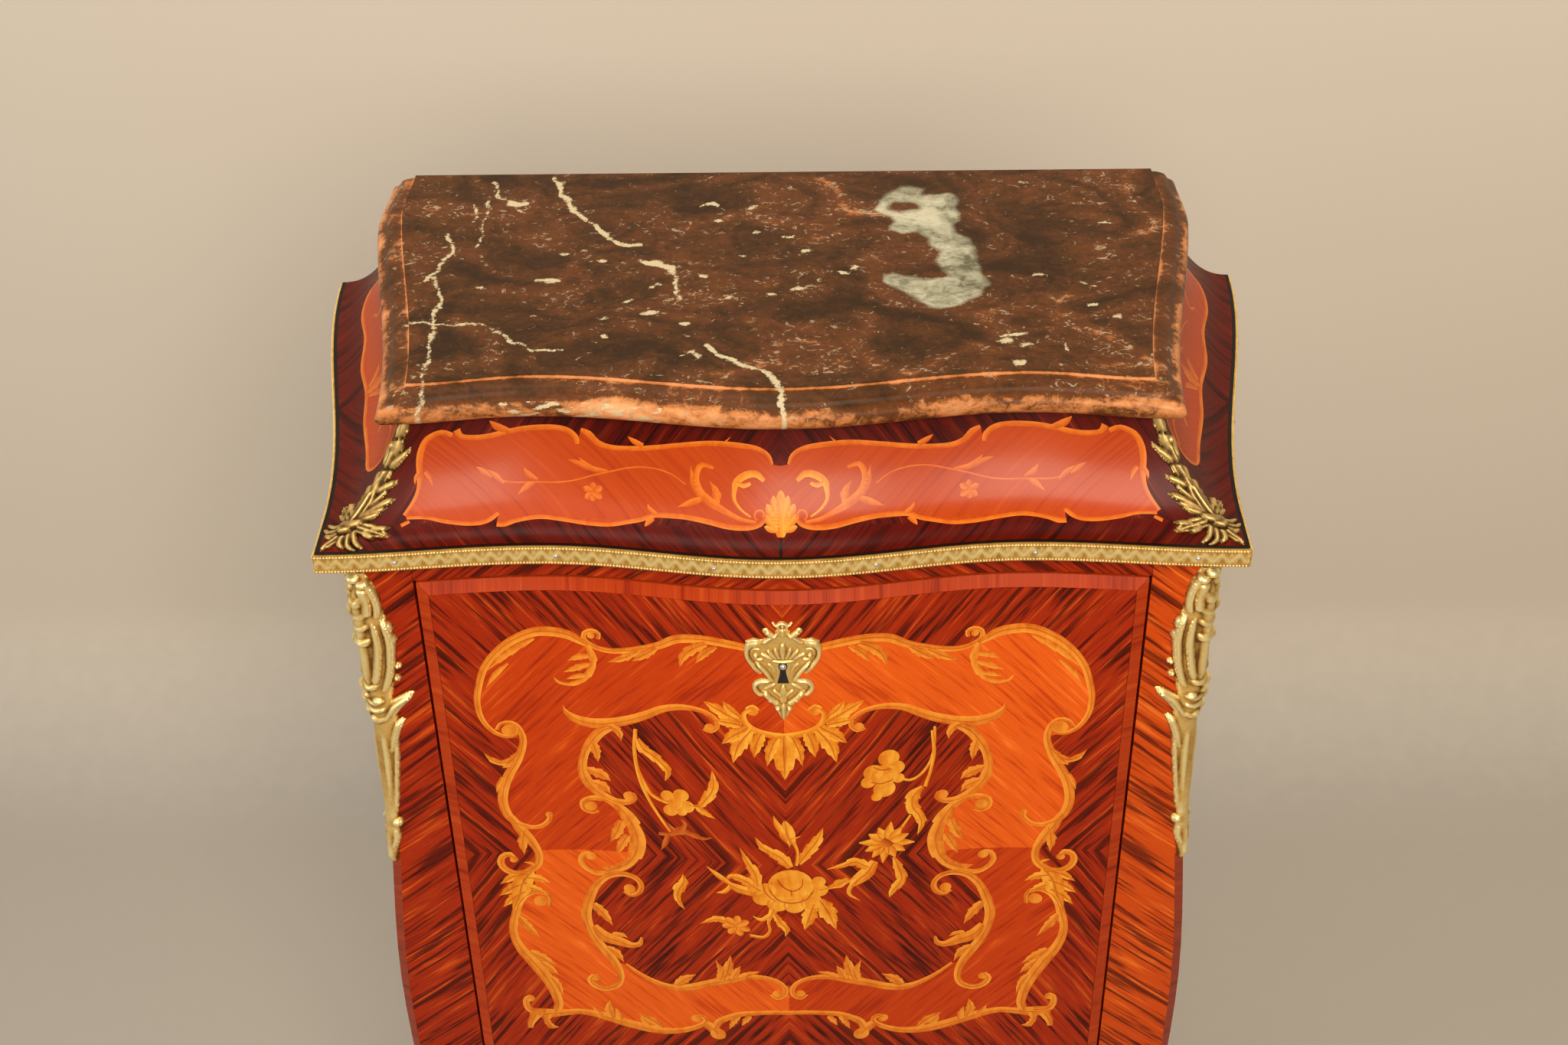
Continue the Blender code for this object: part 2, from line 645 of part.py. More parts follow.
def build_fall(veneer, banding, leather):
    """Fall front: a serpentine field with four bevelled border mouldings."""
    field_half = FALL_HALF - BORDER_WIDTH
    field_z = (FALL_Z + BORDER_WIDTH, FALL_TOP_Z - BORDER_WIDTH)
    bowed_board("fall_field", field_half - SEAT, field_z[0] + SEAT, field_z[1] - SEAT, field_front,
                FALL_INNER_Y, veneer)
    outer_x, inner_x = FALL_HALF, field_half
    shares = spread(-1, 1, FRONT_STEPS)
    for word, outer_z, inner_z in (("top", FALL_TOP_Z, field_z[1]), ("bottom", FALL_Z, field_z[0])):
        loops = []
        for share in shares:
            far, near = share * (outer_x - SEAT), share * (inner_x - SEAT)
            loops.append([(near, field_front(near, inner_z), inner_z),
                          (far, body_front(far, outer_z), outer_z),
                          (far, FALL_INNER_Y, outer_z), (near, FALL_INNER_Y, inner_z)])
        skin(f"fall_border_{word}", loops, banding)
    for side, word in ((1, "right"), (-1, "left")):
        loops = []
        for share in spread(0, 1, 4):
            far = FALL_Z + SEAT + share * (FALL_HEIGHT - 2 * SEAT)
            near = field_z[0] + SEAT + share * (field_z[1] - field_z[0] - 2 * SEAT)
            loops.append([(inner_x, field_front(inner_x, near), near),
                          (outer_x, body_front(outer_x, far), far),
                          (outer_x, FALL_INNER_Y, far), (inner_x, FALL_INNER_Y, near)])
        skin(f"fall_border_{word}", flipped(loops, side), banding)
    leather_half = FALL_HALF - LEATHER_MARGIN
    leather_y = FALL_INNER_Y + SEAT
    box("writing_leather", (-leather_half, leather_y, FALL_Z + LEATHER_MARGIN),
        (leather_half, leather_y + LEATHER_THICK, FALL_TOP_Z - LEATHER_DROP), leather)


def build_hinges(brass):
    """Two lift-off hinges: one leaf on the rail, one under the fall, knuckles in line."""
    start = math.asin(LEAF_THICK / 2 / KNUCKLE_RADIUS)
    leaf_end = HINGE_Y + LEAF_LENGTH
    outline = [(leaf_end, HINGE_Z - LEAF_THICK / 2), (leaf_end, HINGE_Z + LEAF_THICK / 2)]
    for turn in spread(start, math.tau - start, KNUCKLE_STEPS):
        outline.append((HINGE_Y + KNUCKLE_RADIUS * math.cos(turn),
                        HINGE_Z + KNUCKLE_RADIUS * math.sin(turn)))
    for side, word in ((1, "right"), (-1, "left")):
        left = side * HINGE_X - HINGE_LENGTH / 2
        middle = left + HINGE_LENGTH / 2
        right = left + HINGE_LENGTH
        for leaf, low, high in (("rail", left, middle - SEAT), ("fall", middle + SEAT, right)):
            loops = [[(x, y, z) for y, z in outline] for x in (low, high)]
            skin(f"{word}_hinge_{leaf}_leaf", loops, brass, 40)


def build_stays(brass):
    """Quadrant stays on the fall, sliding beside the linings."""
    inner, outer = STAY_RADIUS - STAY_WIDTH / 2, STAY_RADIUS + STAY_WIDTH / 2
    foot_y = FALL_INNER_Y + SEAT
    face_y = foot_y + STAY_FOOT_THICK
    low_turn = -math.radians(STAY_SWEEP_BELOW)
    lug_turn = low_turn + 2 * STAY_LUG / outer

    def at(radius, turn):
        return HINGE_Y + radius * math.cos(turn), HINGE_Z + radius * math.sin(turn)

    outer_end = math.acos((face_y - HINGE_Y) / outer)
    inner_end = math.acos((face_y - HINGE_Y) / inner)
    outline = [at(inner, low_turn), at(outer + STAY_LUG, low_turn), at(outer + STAY_LUG, lug_turn)]
    outline += [at(outer, turn) for turn in spread(lug_turn, outer_end, STAY_STEPS)]
    top_z, low_z = at(outer, outer_end)[1] + STAY_FOOT, at(inner, inner_end)[1] - STAY_FOOT
    outline += [(face_y, top_z), (foot_y, top_z), (foot_y, low_z), (face_y, low_z)]
    outline += [at(inner, turn) for turn in spread(inner_end, low_turn, STAY_STEPS)[:-1]]
    middle = (LINING_OUT + FALL_HALF) / 2
    reach = STAY_THICK / 2
    loops = [[(x, y, z) for y, z in outline] for x in (middle - reach, middle + reach)]
    for side, word in ((1, "right"), (-1, "left")):
        skin(f"{word}_quadrant_stay", flipped(loops, side), brass, 40)


def build_lock(steel, bronze):
    """Lock on the fall's inner face; its bolt rises behind the top rail."""
    face_y = FALL_INNER_Y + SEAT
    back_y = face_y + LOCK_DEPTH
    top = FALL_TOP_Z - LOCK_TOP_DROP
    half, slot = LOCK_WIDTH / 2, BOLT_WIDTH / 2 + BOLT_PLAY
    bolt_y = REBATE_Y + SEAT + STRIKE_THICK + BOLT_PLAY
    slot_y = bolt_y + BOLT_DEPTH + BOLT_PLAY
    outline = [(-half, face_y), (-slot, face_y), (-slot, slot_y), (slot, slot_y), (slot, face_y),
               (half, face_y), (half, back_y), (-half, back_y)]
    skin("lock_case", stacked([(top - LOCK_HEIGHT, outline), (top, outline)]), steel)
    box("lock_bolt", (-BOLT_WIDTH / 2, bolt_y, top - BOLT_HEIGHT),
        (BOLT_WIDTH / 2, bolt_y + BOLT_DEPTH, top), steel)
    strike_y = REBATE_Y + SEAT
    box("strike_plate", (-STRIKE_WIDTH / 2, strike_y, TOP_RAIL_Z + SEAT),
        (STRIKE_WIDTH / 2, strike_y + STRIKE_THICK, BAND_Z - 2 * SEAT), bronze)


def build_escutcheon(name, half, height, top, face, bronze):
    """A shaped gilt key plate bent to the serpentine front."""
    loops = []
    for share in spread(0, 1, PLATE_STEPS):
        z = top - height + share * height
        reach = half * ease_through(PLATE_PROFILE, share)
        front = []
        back = []
        for x in spread(-reach, reach, 4):
            crown = PLATE_RIM + (PLATE_THICK - PLATE_RIM) * (1 - (x / half) ** 2)
            front.append((x, face(x, z) - SEAT - crown, z))
            back.append((x, face(x, z) - SEAT, z))
        loops.append(front + back[::-1])
    skin(name, loops, bronze, 50)


def build_drawers(veneer, wood, bronze):
    """Two serpentine drawers below the fall."""
    half = OPEN_HALF - DRAWER_GAP
    for word, base in (("upper", DIVIDER_TOP_Z), ("lower", BOTTOM_TOP_Z)):
        low_z, high_z = base + DRAWER_GAP, base + DRAWER_OPENING - DRAWER_GAP
        bowed_board(f"{word}_drawer_front", half, low_z, high_z, body_front, FALL_INNER_Y, veneer)
        low = (-DRAWER_BOX_HALF, FALL_INNER_Y + SEAT, base + SEAT)
        high = (DRAWER_BOX_HALF, BACK_PANEL_Y - DRAWER_BACK_GAP, base + SEAT + DRAWER_BOX_HEIGHT)
        tray(f"{word}_drawer_box", low, high, DRAWER_WALL, DRAWER_WALL, DRAWER_WALL, wood)
        plate_top = (low_z + high_z + SMALL_PLATE_HEIGHT) / 2
        build_escutcheon(f"{word}_drawer_escutcheon", SMALL_PLATE_HALF, SMALL_PLATE_HEIGHT, plate_top,
                         body_front, bronze)


def build_chutes(bronze):
    """Corner mounts: scrolled head, leaf collar, long tapering stem, bud and tip."""
    heights = spread(BAND_Z - SEAT - CHUTE_LENGTH, BAND_Z - SEAT, CHUTE_STEPS)
    loops = []
    for z in heights:
        spans = ease_through(CHUTE_PROFILE, (z - heights[0]) / CHUTE_LENGTH)
        wide = CHUTE_HALF * spans
        proud = CHUTE_THIN + (CHUTE_RELIEF - CHUTE_THIN) * spans
        corner_x = body_half(z)
        face_x = corner_x - CORNER_CHAMFER
        edge_y = body_front(corner_x, z) + CORNER_CHAMFER
        front_y = body_front(face_x - wide, z)
        rim = proud * CHUTE_THIN / CHUTE_RELIEF
        diagonal = proud * math.sqrt(0.5)
        face_y = body_front(face_x, z)
        seat = 2 * SEAT
        side_x = corner_x + side_out(POST_BACK_Y)
        loops.append([(face_x - wide, front_y - seat, z), (face_x, face_y - seat, z),
                      (corner_x + seat, edge_y, z), (side_x + seat, edge_y + wide, z),
                      (side_x + rim, edge_y + wide, z),
                      (corner_x + diagonal, edge_y - diagonal / 2, z),
                      (face_x + diagonal / 2, face_y - diagonal, z),
                      (face_x - wide, front_y - rim, z)])
    for side, word in ((1, "right"), (-1, "left")):
        skin(f"{word}_corner_chute", flipped(loops, side), bronze, 60)


def build_sprays(bronze):
    """Leaf sprays up the two front mitres of the frieze."""
    loops = []
    for step in spread(*SPRAY_SPAN, SPRAY_STEPS):
        share = step ** 2
        inset = frieze_inset(share) - SPRAY_LIFT
        z = BAND_TOP_Z + share * FRIEZE_HEIGHT + SPRAY_LIFT / 2
        spans = ease_through(SPRAY_PROFILE, share)
        wide = SPRAY_REACH * spans
        proud = SPRAY_THIN + (SPRAY_RELIEF - SPRAY_THIN) * spans
        half = BAND_HALF - inset
        front_y = HOLLOW_Y - serpentine(half - wide, half) - BAND_FRONT_OUT + inset
        back_y = CORNER_Y + inset + wide
        back_x = half + side_out(back_y)
        rim = proud * SPRAY_THIN / SPRAY_RELIEF
        crest = proud * math.sqrt(1 / 3)
        loops.append([(half - wide, front_y, z), (half, CORNER_Y + inset, z), (back_x, back_y, z),
                      (back_x + rim, back_y, z + rim),
                      (half + crest, CORNER_Y + inset - crest, z + crest),
                      (half - wide, front_y - rim, z + rim)])
    for side, word in ((1, "right"), (-1, "left")):
        skin(f"{word}_frieze_spray", flipped(loops, side), bronze, 60)


clear_scene()
kingwood = finish("kingwood veneer", (0.16, 0.035, 0.014), 0.25)
tulipwood = finish("tulipwood banding", (0.40, 0.09, 0.035), 0.28)
oak = finish("oak carcass", (0.33, 0.19, 0.09), 0.5)
marble = finish("brown marble", (0.10, 0.035, 0.022), 0.15)
gilt = finish("gilt bronze", (0.65, 0.45, 0.15), 0.32, 1.0)
steel_finish = finish("lock steel", (0.35, 0.34, 0.32), 0.4, 1.0)
hide = finish("green leather", (0.05, 0.10, 0.06), 0.5)

build_marble(marble)
build_frieze(kingwood)
build_band(gilt)
build_front_posts(kingwood, gilt)
build_back_posts(oak)
build_sides(kingwood)
build_back(oak)
build_rails_and_boards(kingwood, oak)
build_inside(oak, gilt)
build_fall(kingwood, tulipwood, hide)
build_hinges(gilt)
build_stays(gilt)
build_lock(steel_finish, gilt)
build_escutcheon("fall_escutcheon", PLATE_HALF, PLATE_HEIGHT, FALL_TOP_Z - PLATE_DROP, field_front, gilt)
build_drawers(kingwood, oak, gilt)
build_chutes(gilt)
build_sprays(gilt)
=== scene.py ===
"""Looks of a serpentine lady's secretary desk: veneer, inlay, marble, gilt mounts, leather, light."""
import math

import bmesh
import bpy
import numpy as np
from mathutils import Matrix, Vector


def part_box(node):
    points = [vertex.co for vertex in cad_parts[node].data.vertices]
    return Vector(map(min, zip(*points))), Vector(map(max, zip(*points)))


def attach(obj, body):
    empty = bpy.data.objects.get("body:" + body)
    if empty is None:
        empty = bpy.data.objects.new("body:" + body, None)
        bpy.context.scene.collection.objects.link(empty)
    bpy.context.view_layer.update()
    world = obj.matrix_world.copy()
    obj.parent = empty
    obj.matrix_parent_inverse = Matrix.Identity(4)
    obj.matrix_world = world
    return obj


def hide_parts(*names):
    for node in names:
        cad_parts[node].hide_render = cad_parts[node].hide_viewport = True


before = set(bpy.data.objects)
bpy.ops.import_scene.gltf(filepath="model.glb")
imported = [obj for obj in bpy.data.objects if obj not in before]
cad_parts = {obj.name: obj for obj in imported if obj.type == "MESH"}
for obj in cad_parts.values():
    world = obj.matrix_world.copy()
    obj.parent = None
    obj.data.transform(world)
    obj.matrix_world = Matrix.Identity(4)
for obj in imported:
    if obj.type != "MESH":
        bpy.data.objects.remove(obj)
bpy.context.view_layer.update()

# The carcass behind the veneer is oak: planed boards and posts, waxed, set edge to edge.
# Uprights run their grain upwards, boards and drawer boxes run it from side to side.


def daylight(red, green, blue):
    """Linear colour of a finish from its colour by eye."""
    return tuple(((part / 255 + 0.055) / 1.055) ** 2.4 for part in (red, green, blue))


def new_finish(name, roughness):
    """An empty finish: its material, nodes, links and shader."""
    finish = bpy.data.materials.new(name)
    finish.use_nodes = True
    nodes, links = finish.node_tree.nodes, finish.node_tree.links
    shader = nodes["Principled BSDF"]
    shader.inputs["Roughness"].default_value = roughness
    return finish, nodes, links, shader


def figure(nodes, links, source, scale, detail=3.0, rough=0.55, twist=0.0):
    """Cloudy figure of a natural material, drawn out by its scale along each axis."""
    stretch = nodes.new("ShaderNodeMapping")
    stretch.inputs["Scale"].default_value = scale
    cloud = nodes.new("ShaderNodeTexNoise")
    for socket, value in (("Scale", 1.0), ("Detail", detail), ("Roughness", rough), ("Distortion", twist)):
        cloud.inputs[socket].default_value = value
    links.new(source, stretch.inputs["Vector"])
    links.new(stretch.outputs["Vector"], cloud.inputs["Vector"])
    return cloud.outputs["Fac"]


def sum_up(nodes, links, *parts):
    """Weighted sum of figures, given as pairs of a figure and its weight."""
    total = None
    for value, weight in parts:
        step = nodes.new("ShaderNodeMath")
        step.operation = "MULTIPLY_ADD"
        step.inputs[1].default_value = weight
        step.inputs[2].default_value = 0.0
        links.new(value, step.inputs[0])
        if total is not None:
            links.new(total, step.inputs[2])
        total = step.outputs["Value"]
    return total


def shades(nodes, links, value, *stops):
    """Colours of a figure, from its darkest share to its lightest."""
    ramp = nodes.new("ShaderNodeValToRGB")
    marks = ramp.color_ramp.elements
    marks[0].position, marks[0].color = stops[0][0], (*stops[0][1], 1)
    marks[1].position, marks[1].color = stops[-1][0], (*stops[-1][1], 1)
    for share, colour in stops[1:-1]:
        marks.new(share).color = (*colour, 1)
    links.new(value, ramp.inputs["Fac"])
    return ramp.outputs["Color"]


def press(nodes, links, shader, value, depth):
    """Raises and sinks a surface by a figure, by depth in metres."""
    bump = nodes.new("ShaderNodeBump")
    bump.inputs["Distance"].default_value = depth
    links.new(value, bump.inputs["Height"])
    links.new(bump.outputs["Normal"], shader.inputs["Normal"])


def laid_over(nodes, links, share, under, over):
    """One colour over another by a share; the upper one is a figure's or plain."""
    mix = nodes.new("ShaderNodeMix")
    mix.data_type = "RGBA"
    links.new(share, mix.inputs["Factor"])
    links.new(under, mix.inputs["A"])
    if isinstance(over, tuple):
        mix.inputs["B"].default_value = (*over, 1)
    else:
        links.new(over, mix.inputs["B"])
    return mix.outputs["Result"]


def waxed_oak(name, grain, stain=1.0):
    """Waxed oak with its grain along one axis, darker for a smaller stain."""
    finish, nodes, links, shader = new_finish(name, 0.5)
    place = nodes.new("ShaderNodeTexCoord").outputs["Object"]
    growth = figure(nodes, links, place, [4 if axis == grain else 60 for axis in range(3)], 4, 0.6, 0.8)
    pores = figure(nodes, links, place, [26 if axis == grain else 950 for axis in range(3)], 2)
    tone = sum_up(nodes, links, (growth, 0.65), (pores, 0.35))
    woods = [daylight(red * (1 + stain) / 2, green * stain, blue * stain) for red, green, blue in
             ((96, 62, 34), (146, 103, 61), (176, 133, 84))]
    colour = shades(nodes, links, tone, (0.34, woods[0]), (0.5, woods[1]), (0.66, woods[2]))
    links.new(colour, shader.inputs["Base Color"])
    press(nodes, links, shader, pores, 0.00025)
    return finish


def finish_nodes(finish, *names):
    """Gives solids that keep their own shape a finish."""
    for name in names:
        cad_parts[name].data.materials[0] = finish


oak_upright = waxed_oak("waxed_oak_upright", 2)
oak_across = waxed_oak("waxed_oak_across", 0)
oak_stained = waxed_oak("stained_oak_upright", 2, 0.5)
finish_nodes(oak_upright, "left_lining", "right_lining", "left_divider", "right_divider")
finish_nodes(oak_across, "top_board", "desk_floor", "pigeonhole_shelf", "upper_drawer_box",
             "lower_drawer_box")


def welded(node):
    """A copy of a solid's skin, welded so that it shades as one surface."""
    bm = bmesh.new()
    bm.from_mesh(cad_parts[node].data)
    bmesh.ops.remove_doubles(bm, verts=bm.verts, dist=2e-6)
    return bm


def put_up(name, bm, finishes, body, nodes=(), sharp=35):
    """Turns a finished bmesh into a piece of the desk that moves with its body."""
    for edge in bm.edges:
        edge.smooth = len(edge.link_faces) == 2 and edge.calc_face_angle(0) < math.radians(sharp)
    for face in bm.faces:
        face.smooth = True
    mesh = bpy.data.meshes.new(name)
    bm.to_mesh(mesh)
    bm.free()
    for finish in finishes:
        mesh.materials.append(finish)
    piece = bpy.data.objects.new(name, mesh)
    bpy.context.scene.collection.objects.link(piece)
    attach(piece, body)
    if nodes:
        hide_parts(*nodes)
    return piece


for side in ("left", "right"):
    put_up(f"{side}_back_leg", welded(f"back_{side}_post"), [oak_stained], "carcass",
           [f"back_{side}_post"])

# The body is veneered in kingwood: thin leaves laid on the slant and matched left to right,
# glued to posts, sides, rails and apron, then polished. The corners are cut off and strung.


def shellac(shader, polish):
    """A thin rubbed polish: the thicker it is, the softer its shine."""
    shader.inputs["Specular IOR Level"].default_value = 0.09
    shader.inputs["Coat Weight"].default_value = polish
    shader.inputs["Coat Roughness"].default_value = 0.10 + 0.6 * polish


def sliced_veneer(name, dark, middle, light, length, width, streaks=0.0, polish=0.10):
    """Polished veneer; the piece's own grain map gives the run of the stripes."""
    dark, middle, light = (daylight(*shade) for shade in (dark, middle, light))
    finish, nodes, links, shader = new_finish(name, 0.34)
    place = nodes.new("ShaderNodeTexCoord").outputs["UV"]
    stripes = figure(nodes, links, place, (length, width, 1), 3, 0.6, 0.25)
    lines = figure(nodes, links, place, (length * 3, width * 5, 1), 3, 0.6)
    clouds = figure(nodes, links, place, (9, 22, 1), 2)
    tone = sum_up(nodes, links, (stripes, 0.50), (lines, 0.26), (clouds, 0.24))
    colour = shades(nodes, links, tone, (0.40, dark), (0.48, middle), (0.54, middle), (0.63, light))
    if streaks:
        veins = figure(nodes, links, place, (length * 0.7, width * 0.8, 1), 3, 0.6, 0.3)
        share = shades(nodes, links, veins, (0.52, (0, 0, 0)), (0.60, (streaks, streaks, streaks)))
        colour = laid_over(nodes, links, share, colour, tuple(part * 0.35 for part in dark))
    links.new(colour, shader.inputs["Base Color"])
    press(nodes, links, shader, lines, 0.00006)
    shellac(shader, polish)
    return finish


def lay_veneer(bm, lean, middle):
    """Writes the grain map: leaves lean by an angle and are matched about the middle point."""
    grain = bm.loops.layers.uv.new("grain")
    bm.normal_update()
    cosine, sine = math.cos(math.radians(lean)), math.sin(math.radians(lean))
    for face in bm.faces:
        first, second = (0, 2)
        if abs(face.normal.z) > 0.8:
            first, second = (0, 1)
        elif abs(face.normal.x) > abs(face.normal.y):
            first, second = (1, 2)
        for corner in face.loops:
            s = -abs(corner.vert.co[first] - middle[first])
            t = abs(corner.vert.co[second] - middle[second])
            corner[grain].uv = (s * cosine + t * sine, t * cosine - s * sine)


def cut_seam(bm, point, across):
    """Parts the faces along a plane, where two leaves of veneer or two boards meet."""
    bmesh.ops.bisect_plane(bm, geom=bm.verts[:] + bm.edges[:] + bm.faces[:], plane_co=point,
                           plane_no=across, dist=1e-6)


kingwood = sliced_veneer("kingwood_veneer", (78, 11, 0), (160, 40, 3), (216, 90, 20), 10, 190, 0.76)
# A lighter copy of the kingwood for the right front post: painted sheen, where light catches that leaf.
kingwood_painted_sheen = sliced_veneer("kingwood_leaf_painted_sheen", (104, 22, 1), (200, 72, 11), (236, 118, 37),
                                10, 190, 0.76)
tulipwood = sliced_veneer("tulipwood_banding", (144, 38, 8), (176, 57, 14), (194, 78, 28), 6, 160, 0, 0.02)
corner_string = sliced_veneer("corner_string", (116, 30, 7), (150, 47, 15), (174, 64, 26), 6, 160)

for side in ("left", "right"):
    post = welded(f"front_{side}_post")
    lay_veneer(post, 38, (0, 0, 0))
    chute_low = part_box(f"{side}_corner_chute")[0].z
    for face in post.faces:
        cut_off = abs(face.normal.x) > 0.4 and face.normal.y < -0.4
        face.material_index = int(cut_off and face.calc_center_median().z < chute_low + 0.01)
    # The right post takes the lighter copy of the kingwood: painted sheen.
    leaf = kingwood if side == "left" else kingwood_painted_sheen
    put_up(f"{side}_front_post_veneer", post, [leaf, corner_string], "carcass",
           [f"front_{side}_post"])
    panel = welded(f"{side}_side_panel")
    low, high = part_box(f"{side}_side_panel")
    panel_middle = Vector((0, (low.y + high.y) / 2, (low.z + high.z) / 2))
    cut_seam(panel, panel_middle, (0, 1, 0))
    cut_seam(panel, panel_middle, (0, 0, 1))
    lay_veneer(panel, -52, panel_middle)
    put_up(f"{side}_side_veneer", panel, [kingwood], "carcass", [f"{side}_side_panel"])

for node, body in (("top_rail", "carcass"), ("fall_rail", "carcass"), ("apron", "carcass"),
                   ("upper_drawer_front", "upper_drawer"), ("lower_drawer_front", "lower_drawer")):
    board = welded(node)
    cut_seam(board, (0, 0, 0), (1, 0, 0))
    lay_veneer(board, 38, (0, 0, 0))
    put_up(f"{node}_veneer", board, [kingwood], body, [node])

for node in ("drawer_divider", "bottom_board"):
    board = welded(node)
    lay_veneer(board, 90, (0, 0, 0))
    for face in board.faces:
        face.material_index = int(face.normal.y < -0.6)
    put_up(f"{node}_edged", board, [oak_across, tulipwood], "carcass", [node])

# The back is five upright oak boards, planed and left plain, with a small V worked along each joint.
# They stand in a groove between the back legs.
BACK_BOARDS = 5
JOINT = 0.0015
back_low, back_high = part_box("back_panel")
board_wide = (back_high.x - back_low.x) / BACK_BOARDS
back = welded("back_panel")
for joint in range(1, BACK_BOARDS):
    x = back_low.x + joint * board_wide
    for away in (-JOINT, 0, JOINT):
        cut_seam(back, (x + away, 0, 0), (1, 0, 0))
    for vert in back.verts:
        if abs(vert.co.x - x) < 1e-5 and vert.co.y > back_high.y - 1e-4:
            vert.co.y -= JOINT
for face in back.faces:
    face.material_index = int((face.calc_center_median().x - back_low.x) / board_wide) % 2
oak_second = waxed_oak("waxed_oak_second_board", 2, 0.88)
put_up("back_boards", back, [oak_upright, oak_second], "carcass", ["back_panel"])

# The fall's field is four leaves of kingwood with their stripes meeting in the middle, on a
# serpentine board. The border is tulipwood laid across its length, bevelled and mitred.
HOLLOW_Y = -0.1661
HOLLOW_X = 0.180
CREST = 0.0195
CORNER_OUT = 0.0098
HIP_HALF = 0.339
FALL_INNER_Y = -0.1481
FIELD_PROUD = 0.005
SEAM_DROP = 0.284
fall_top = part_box("fall_border_top")[1].z
field_low, field_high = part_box("fall_field")
ahead_of_fall = Vector((0, -1, 0))


def wave(share):
    """A smooth step from 0 to 1."""
    return 0.5 - 0.5 * math.cos(math.pi * min(max(share, 0.0), 1.0))


def serpentine(x, half):
    """How far the front swells at x: a crest in the middle, hollows, corners coming forward."""
    if abs(x) < HOLLOW_X:
        return CREST * (1 - wave(abs(x) / HOLLOW_X))
    return CORNER_OUT * wave((abs(x) - HOLLOW_X) / (half - HOLLOW_X))


def field_y(x):
    """The outer face of the fall's field."""
    return HOLLOW_Y - serpentine(x, HIP_HALF) - FIELD_PROUD


field = bmesh.new()
bmesh.ops.create_grid(field, x_segments=160, y_segments=2, size=1)
for vert in field.verts:
    x = vert.co.x * field_high.x
    z = (field_low.z, fall_top - SEAM_DROP, field_high.z)[round(vert.co.y) + 1]
    vert.co = (x, field_y(x), z)
front = field.faces[:]
for part in bmesh.ops.extrude_face_region(field, geom=front, use_keep_orig=True)["geom"]:
    if isinstance(part, bmesh.types.BMVert):
        part.co.y = FALL_INNER_Y
bmesh.ops.recalc_face_normals(field, faces=field.faces)
lay_veneer(field, -55, (0, 0, fall_top - SEAM_DROP))
put_up("fall_field_veneer", field, [kingwood], "fall", ["fall_field"])

for word, lean in (("top", 90), ("bottom", 90), ("left", 0), ("right", 0)):
    moulding = welded(f"fall_border_{word}")
    lay_veneer(moulding, lean, (0, 0, 0))
    put_up(f"fall_border_{word}_banding", moulding, [tulipwood], "fall",
           [f"fall_border_{word}"])

# The inlay on the fall is sawn from satinwood and boxwood and let into the kingwood flush:
# a quartered orange ground between two scrolled frames. Sizes are millimetres from the middle
# and below the fall's top edge, with a width; one side is drawn and its mirror is turned over.
SAW_STEP = 0.0024
INLAY_THICK = 0.0005
GROUND_LIFT = 0.00006
GROUND_SLICE = 0.008


def on_fall(x, drop, lift=0.0):
    """A place on the field, measured down from the fall's top edge."""
    return Vector((x, field_y(x) - lift, fall_top - drop))


def drawn_line(points, gap):
    """A smooth run of (across, along, width) in metres through given points in millimetres."""
    points = np.array(points, float) / 1000
    ends = np.vstack([2 * points[0] - points[1], points, 2 * points[-1] - points[-2]])
    run = [points[0]]
    for before, start, end, after in zip(ends, ends[1:], ends[2:], ends[3:]):
        count = max(2, int(np.hypot(*(end - start)[:2]) / gap))
        for t in np.linspace(0, 1, count + 1)[1:]:
            run.append(0.5 * (2 * start + (end - before) * t
                              + (2 * before - 5 * start + 4 * end - after) * t ** 2
                              + (3 * start - before - 3 * end + after) * t ** 3))
    run = np.array(run)
    run[:, 2] = np.maximum(run[:, 2], 0.0001)
    slope = np.gradient(run[:, :2], axis=0)
    slope /= np.maximum(np.hypot(slope[:, 0], slope[:, 1]), 1e-9)[:, None]
    return run, slope


def saw_strip(bm, lay, points, lift, mirror=1):
    """One sawn strip of inlay along a drawn line; broad leaves get toothed edges."""
    toothed = points[-1][2] < 1 and max(width for x, y, width in points) > 5.5
    run, slope = drawn_line(points, SAW_STEP / 2 if toothed else SAW_STEP)
    if toothed:
        run[:, 2] *= 0.80 + 0.36 * (np.arange(len(run)) / max(4, len(run) / 4) % 1)
    last = len(run) - 1
    sawn = bm.loops.layers.uv.verify()
    strip = bmesh.ops.create_grid(bm, x_segments=last, y_segments=1, size=1)["verts"]
    spots = {}
    for vert in strip:
        step, hand = round((vert.co.x + 1) / 2 * last), vert.co.y
        x = run[step, 0] - slope[step, 1] * hand * run[step, 2] / 2
        drop = run[step, 1] + slope[step, 0] * hand * run[step, 2] / 2
        spots[vert] = (step * SAW_STEP, 0.5 + hand / 2)
        vert.co = lay(mirror * x, drop, lift)
    for vert in strip:
        for corner in vert.link_loops:
            corner[sawn].uv = spots[vert]


def saw_eye(bm, lay, x, drop, radius, lift, mirror=1):
    """A round of inlay, such as the eye of a scroll or a petal."""
    sawn = bm.loops.layers.uv.verify()
    disc = bmesh.ops.create_circle(bm, cap_ends=True, segments=20, radius=1)["verts"]
    for vert in disc:
        across, along = vert.co.x * radius / 1000, vert.co.y * radius / 1000
        for corner in vert.link_loops:
            corner[sawn].uv = (along, 0.5 + vert.co.x / 3)
        vert.co = lay(mirror * (x / 1000 + across), drop / 1000 + along, lift)


def let_in(name, bm, finishes, body, outward):
    """Finishes sawn inlay: faces outwards, and half a millimetre of thickness into the ground."""
    bm.normal_update()
    for face in bm.faces:
        if face.normal.dot(outward) < 0:
            face.normal_flip()
    piece = put_up(name, bm, finishes, body)
    thick = piece.modifiers.new("sawn_thickness", "SOLIDIFY")
    thick.thickness = INLAY_THICK
    thick.offset = -1


def stacked(height, step):
    """Heights that grow by a hair from strip to strip, so that no two crossing faces share a plane."""
    while True:
        height += step
        yield height


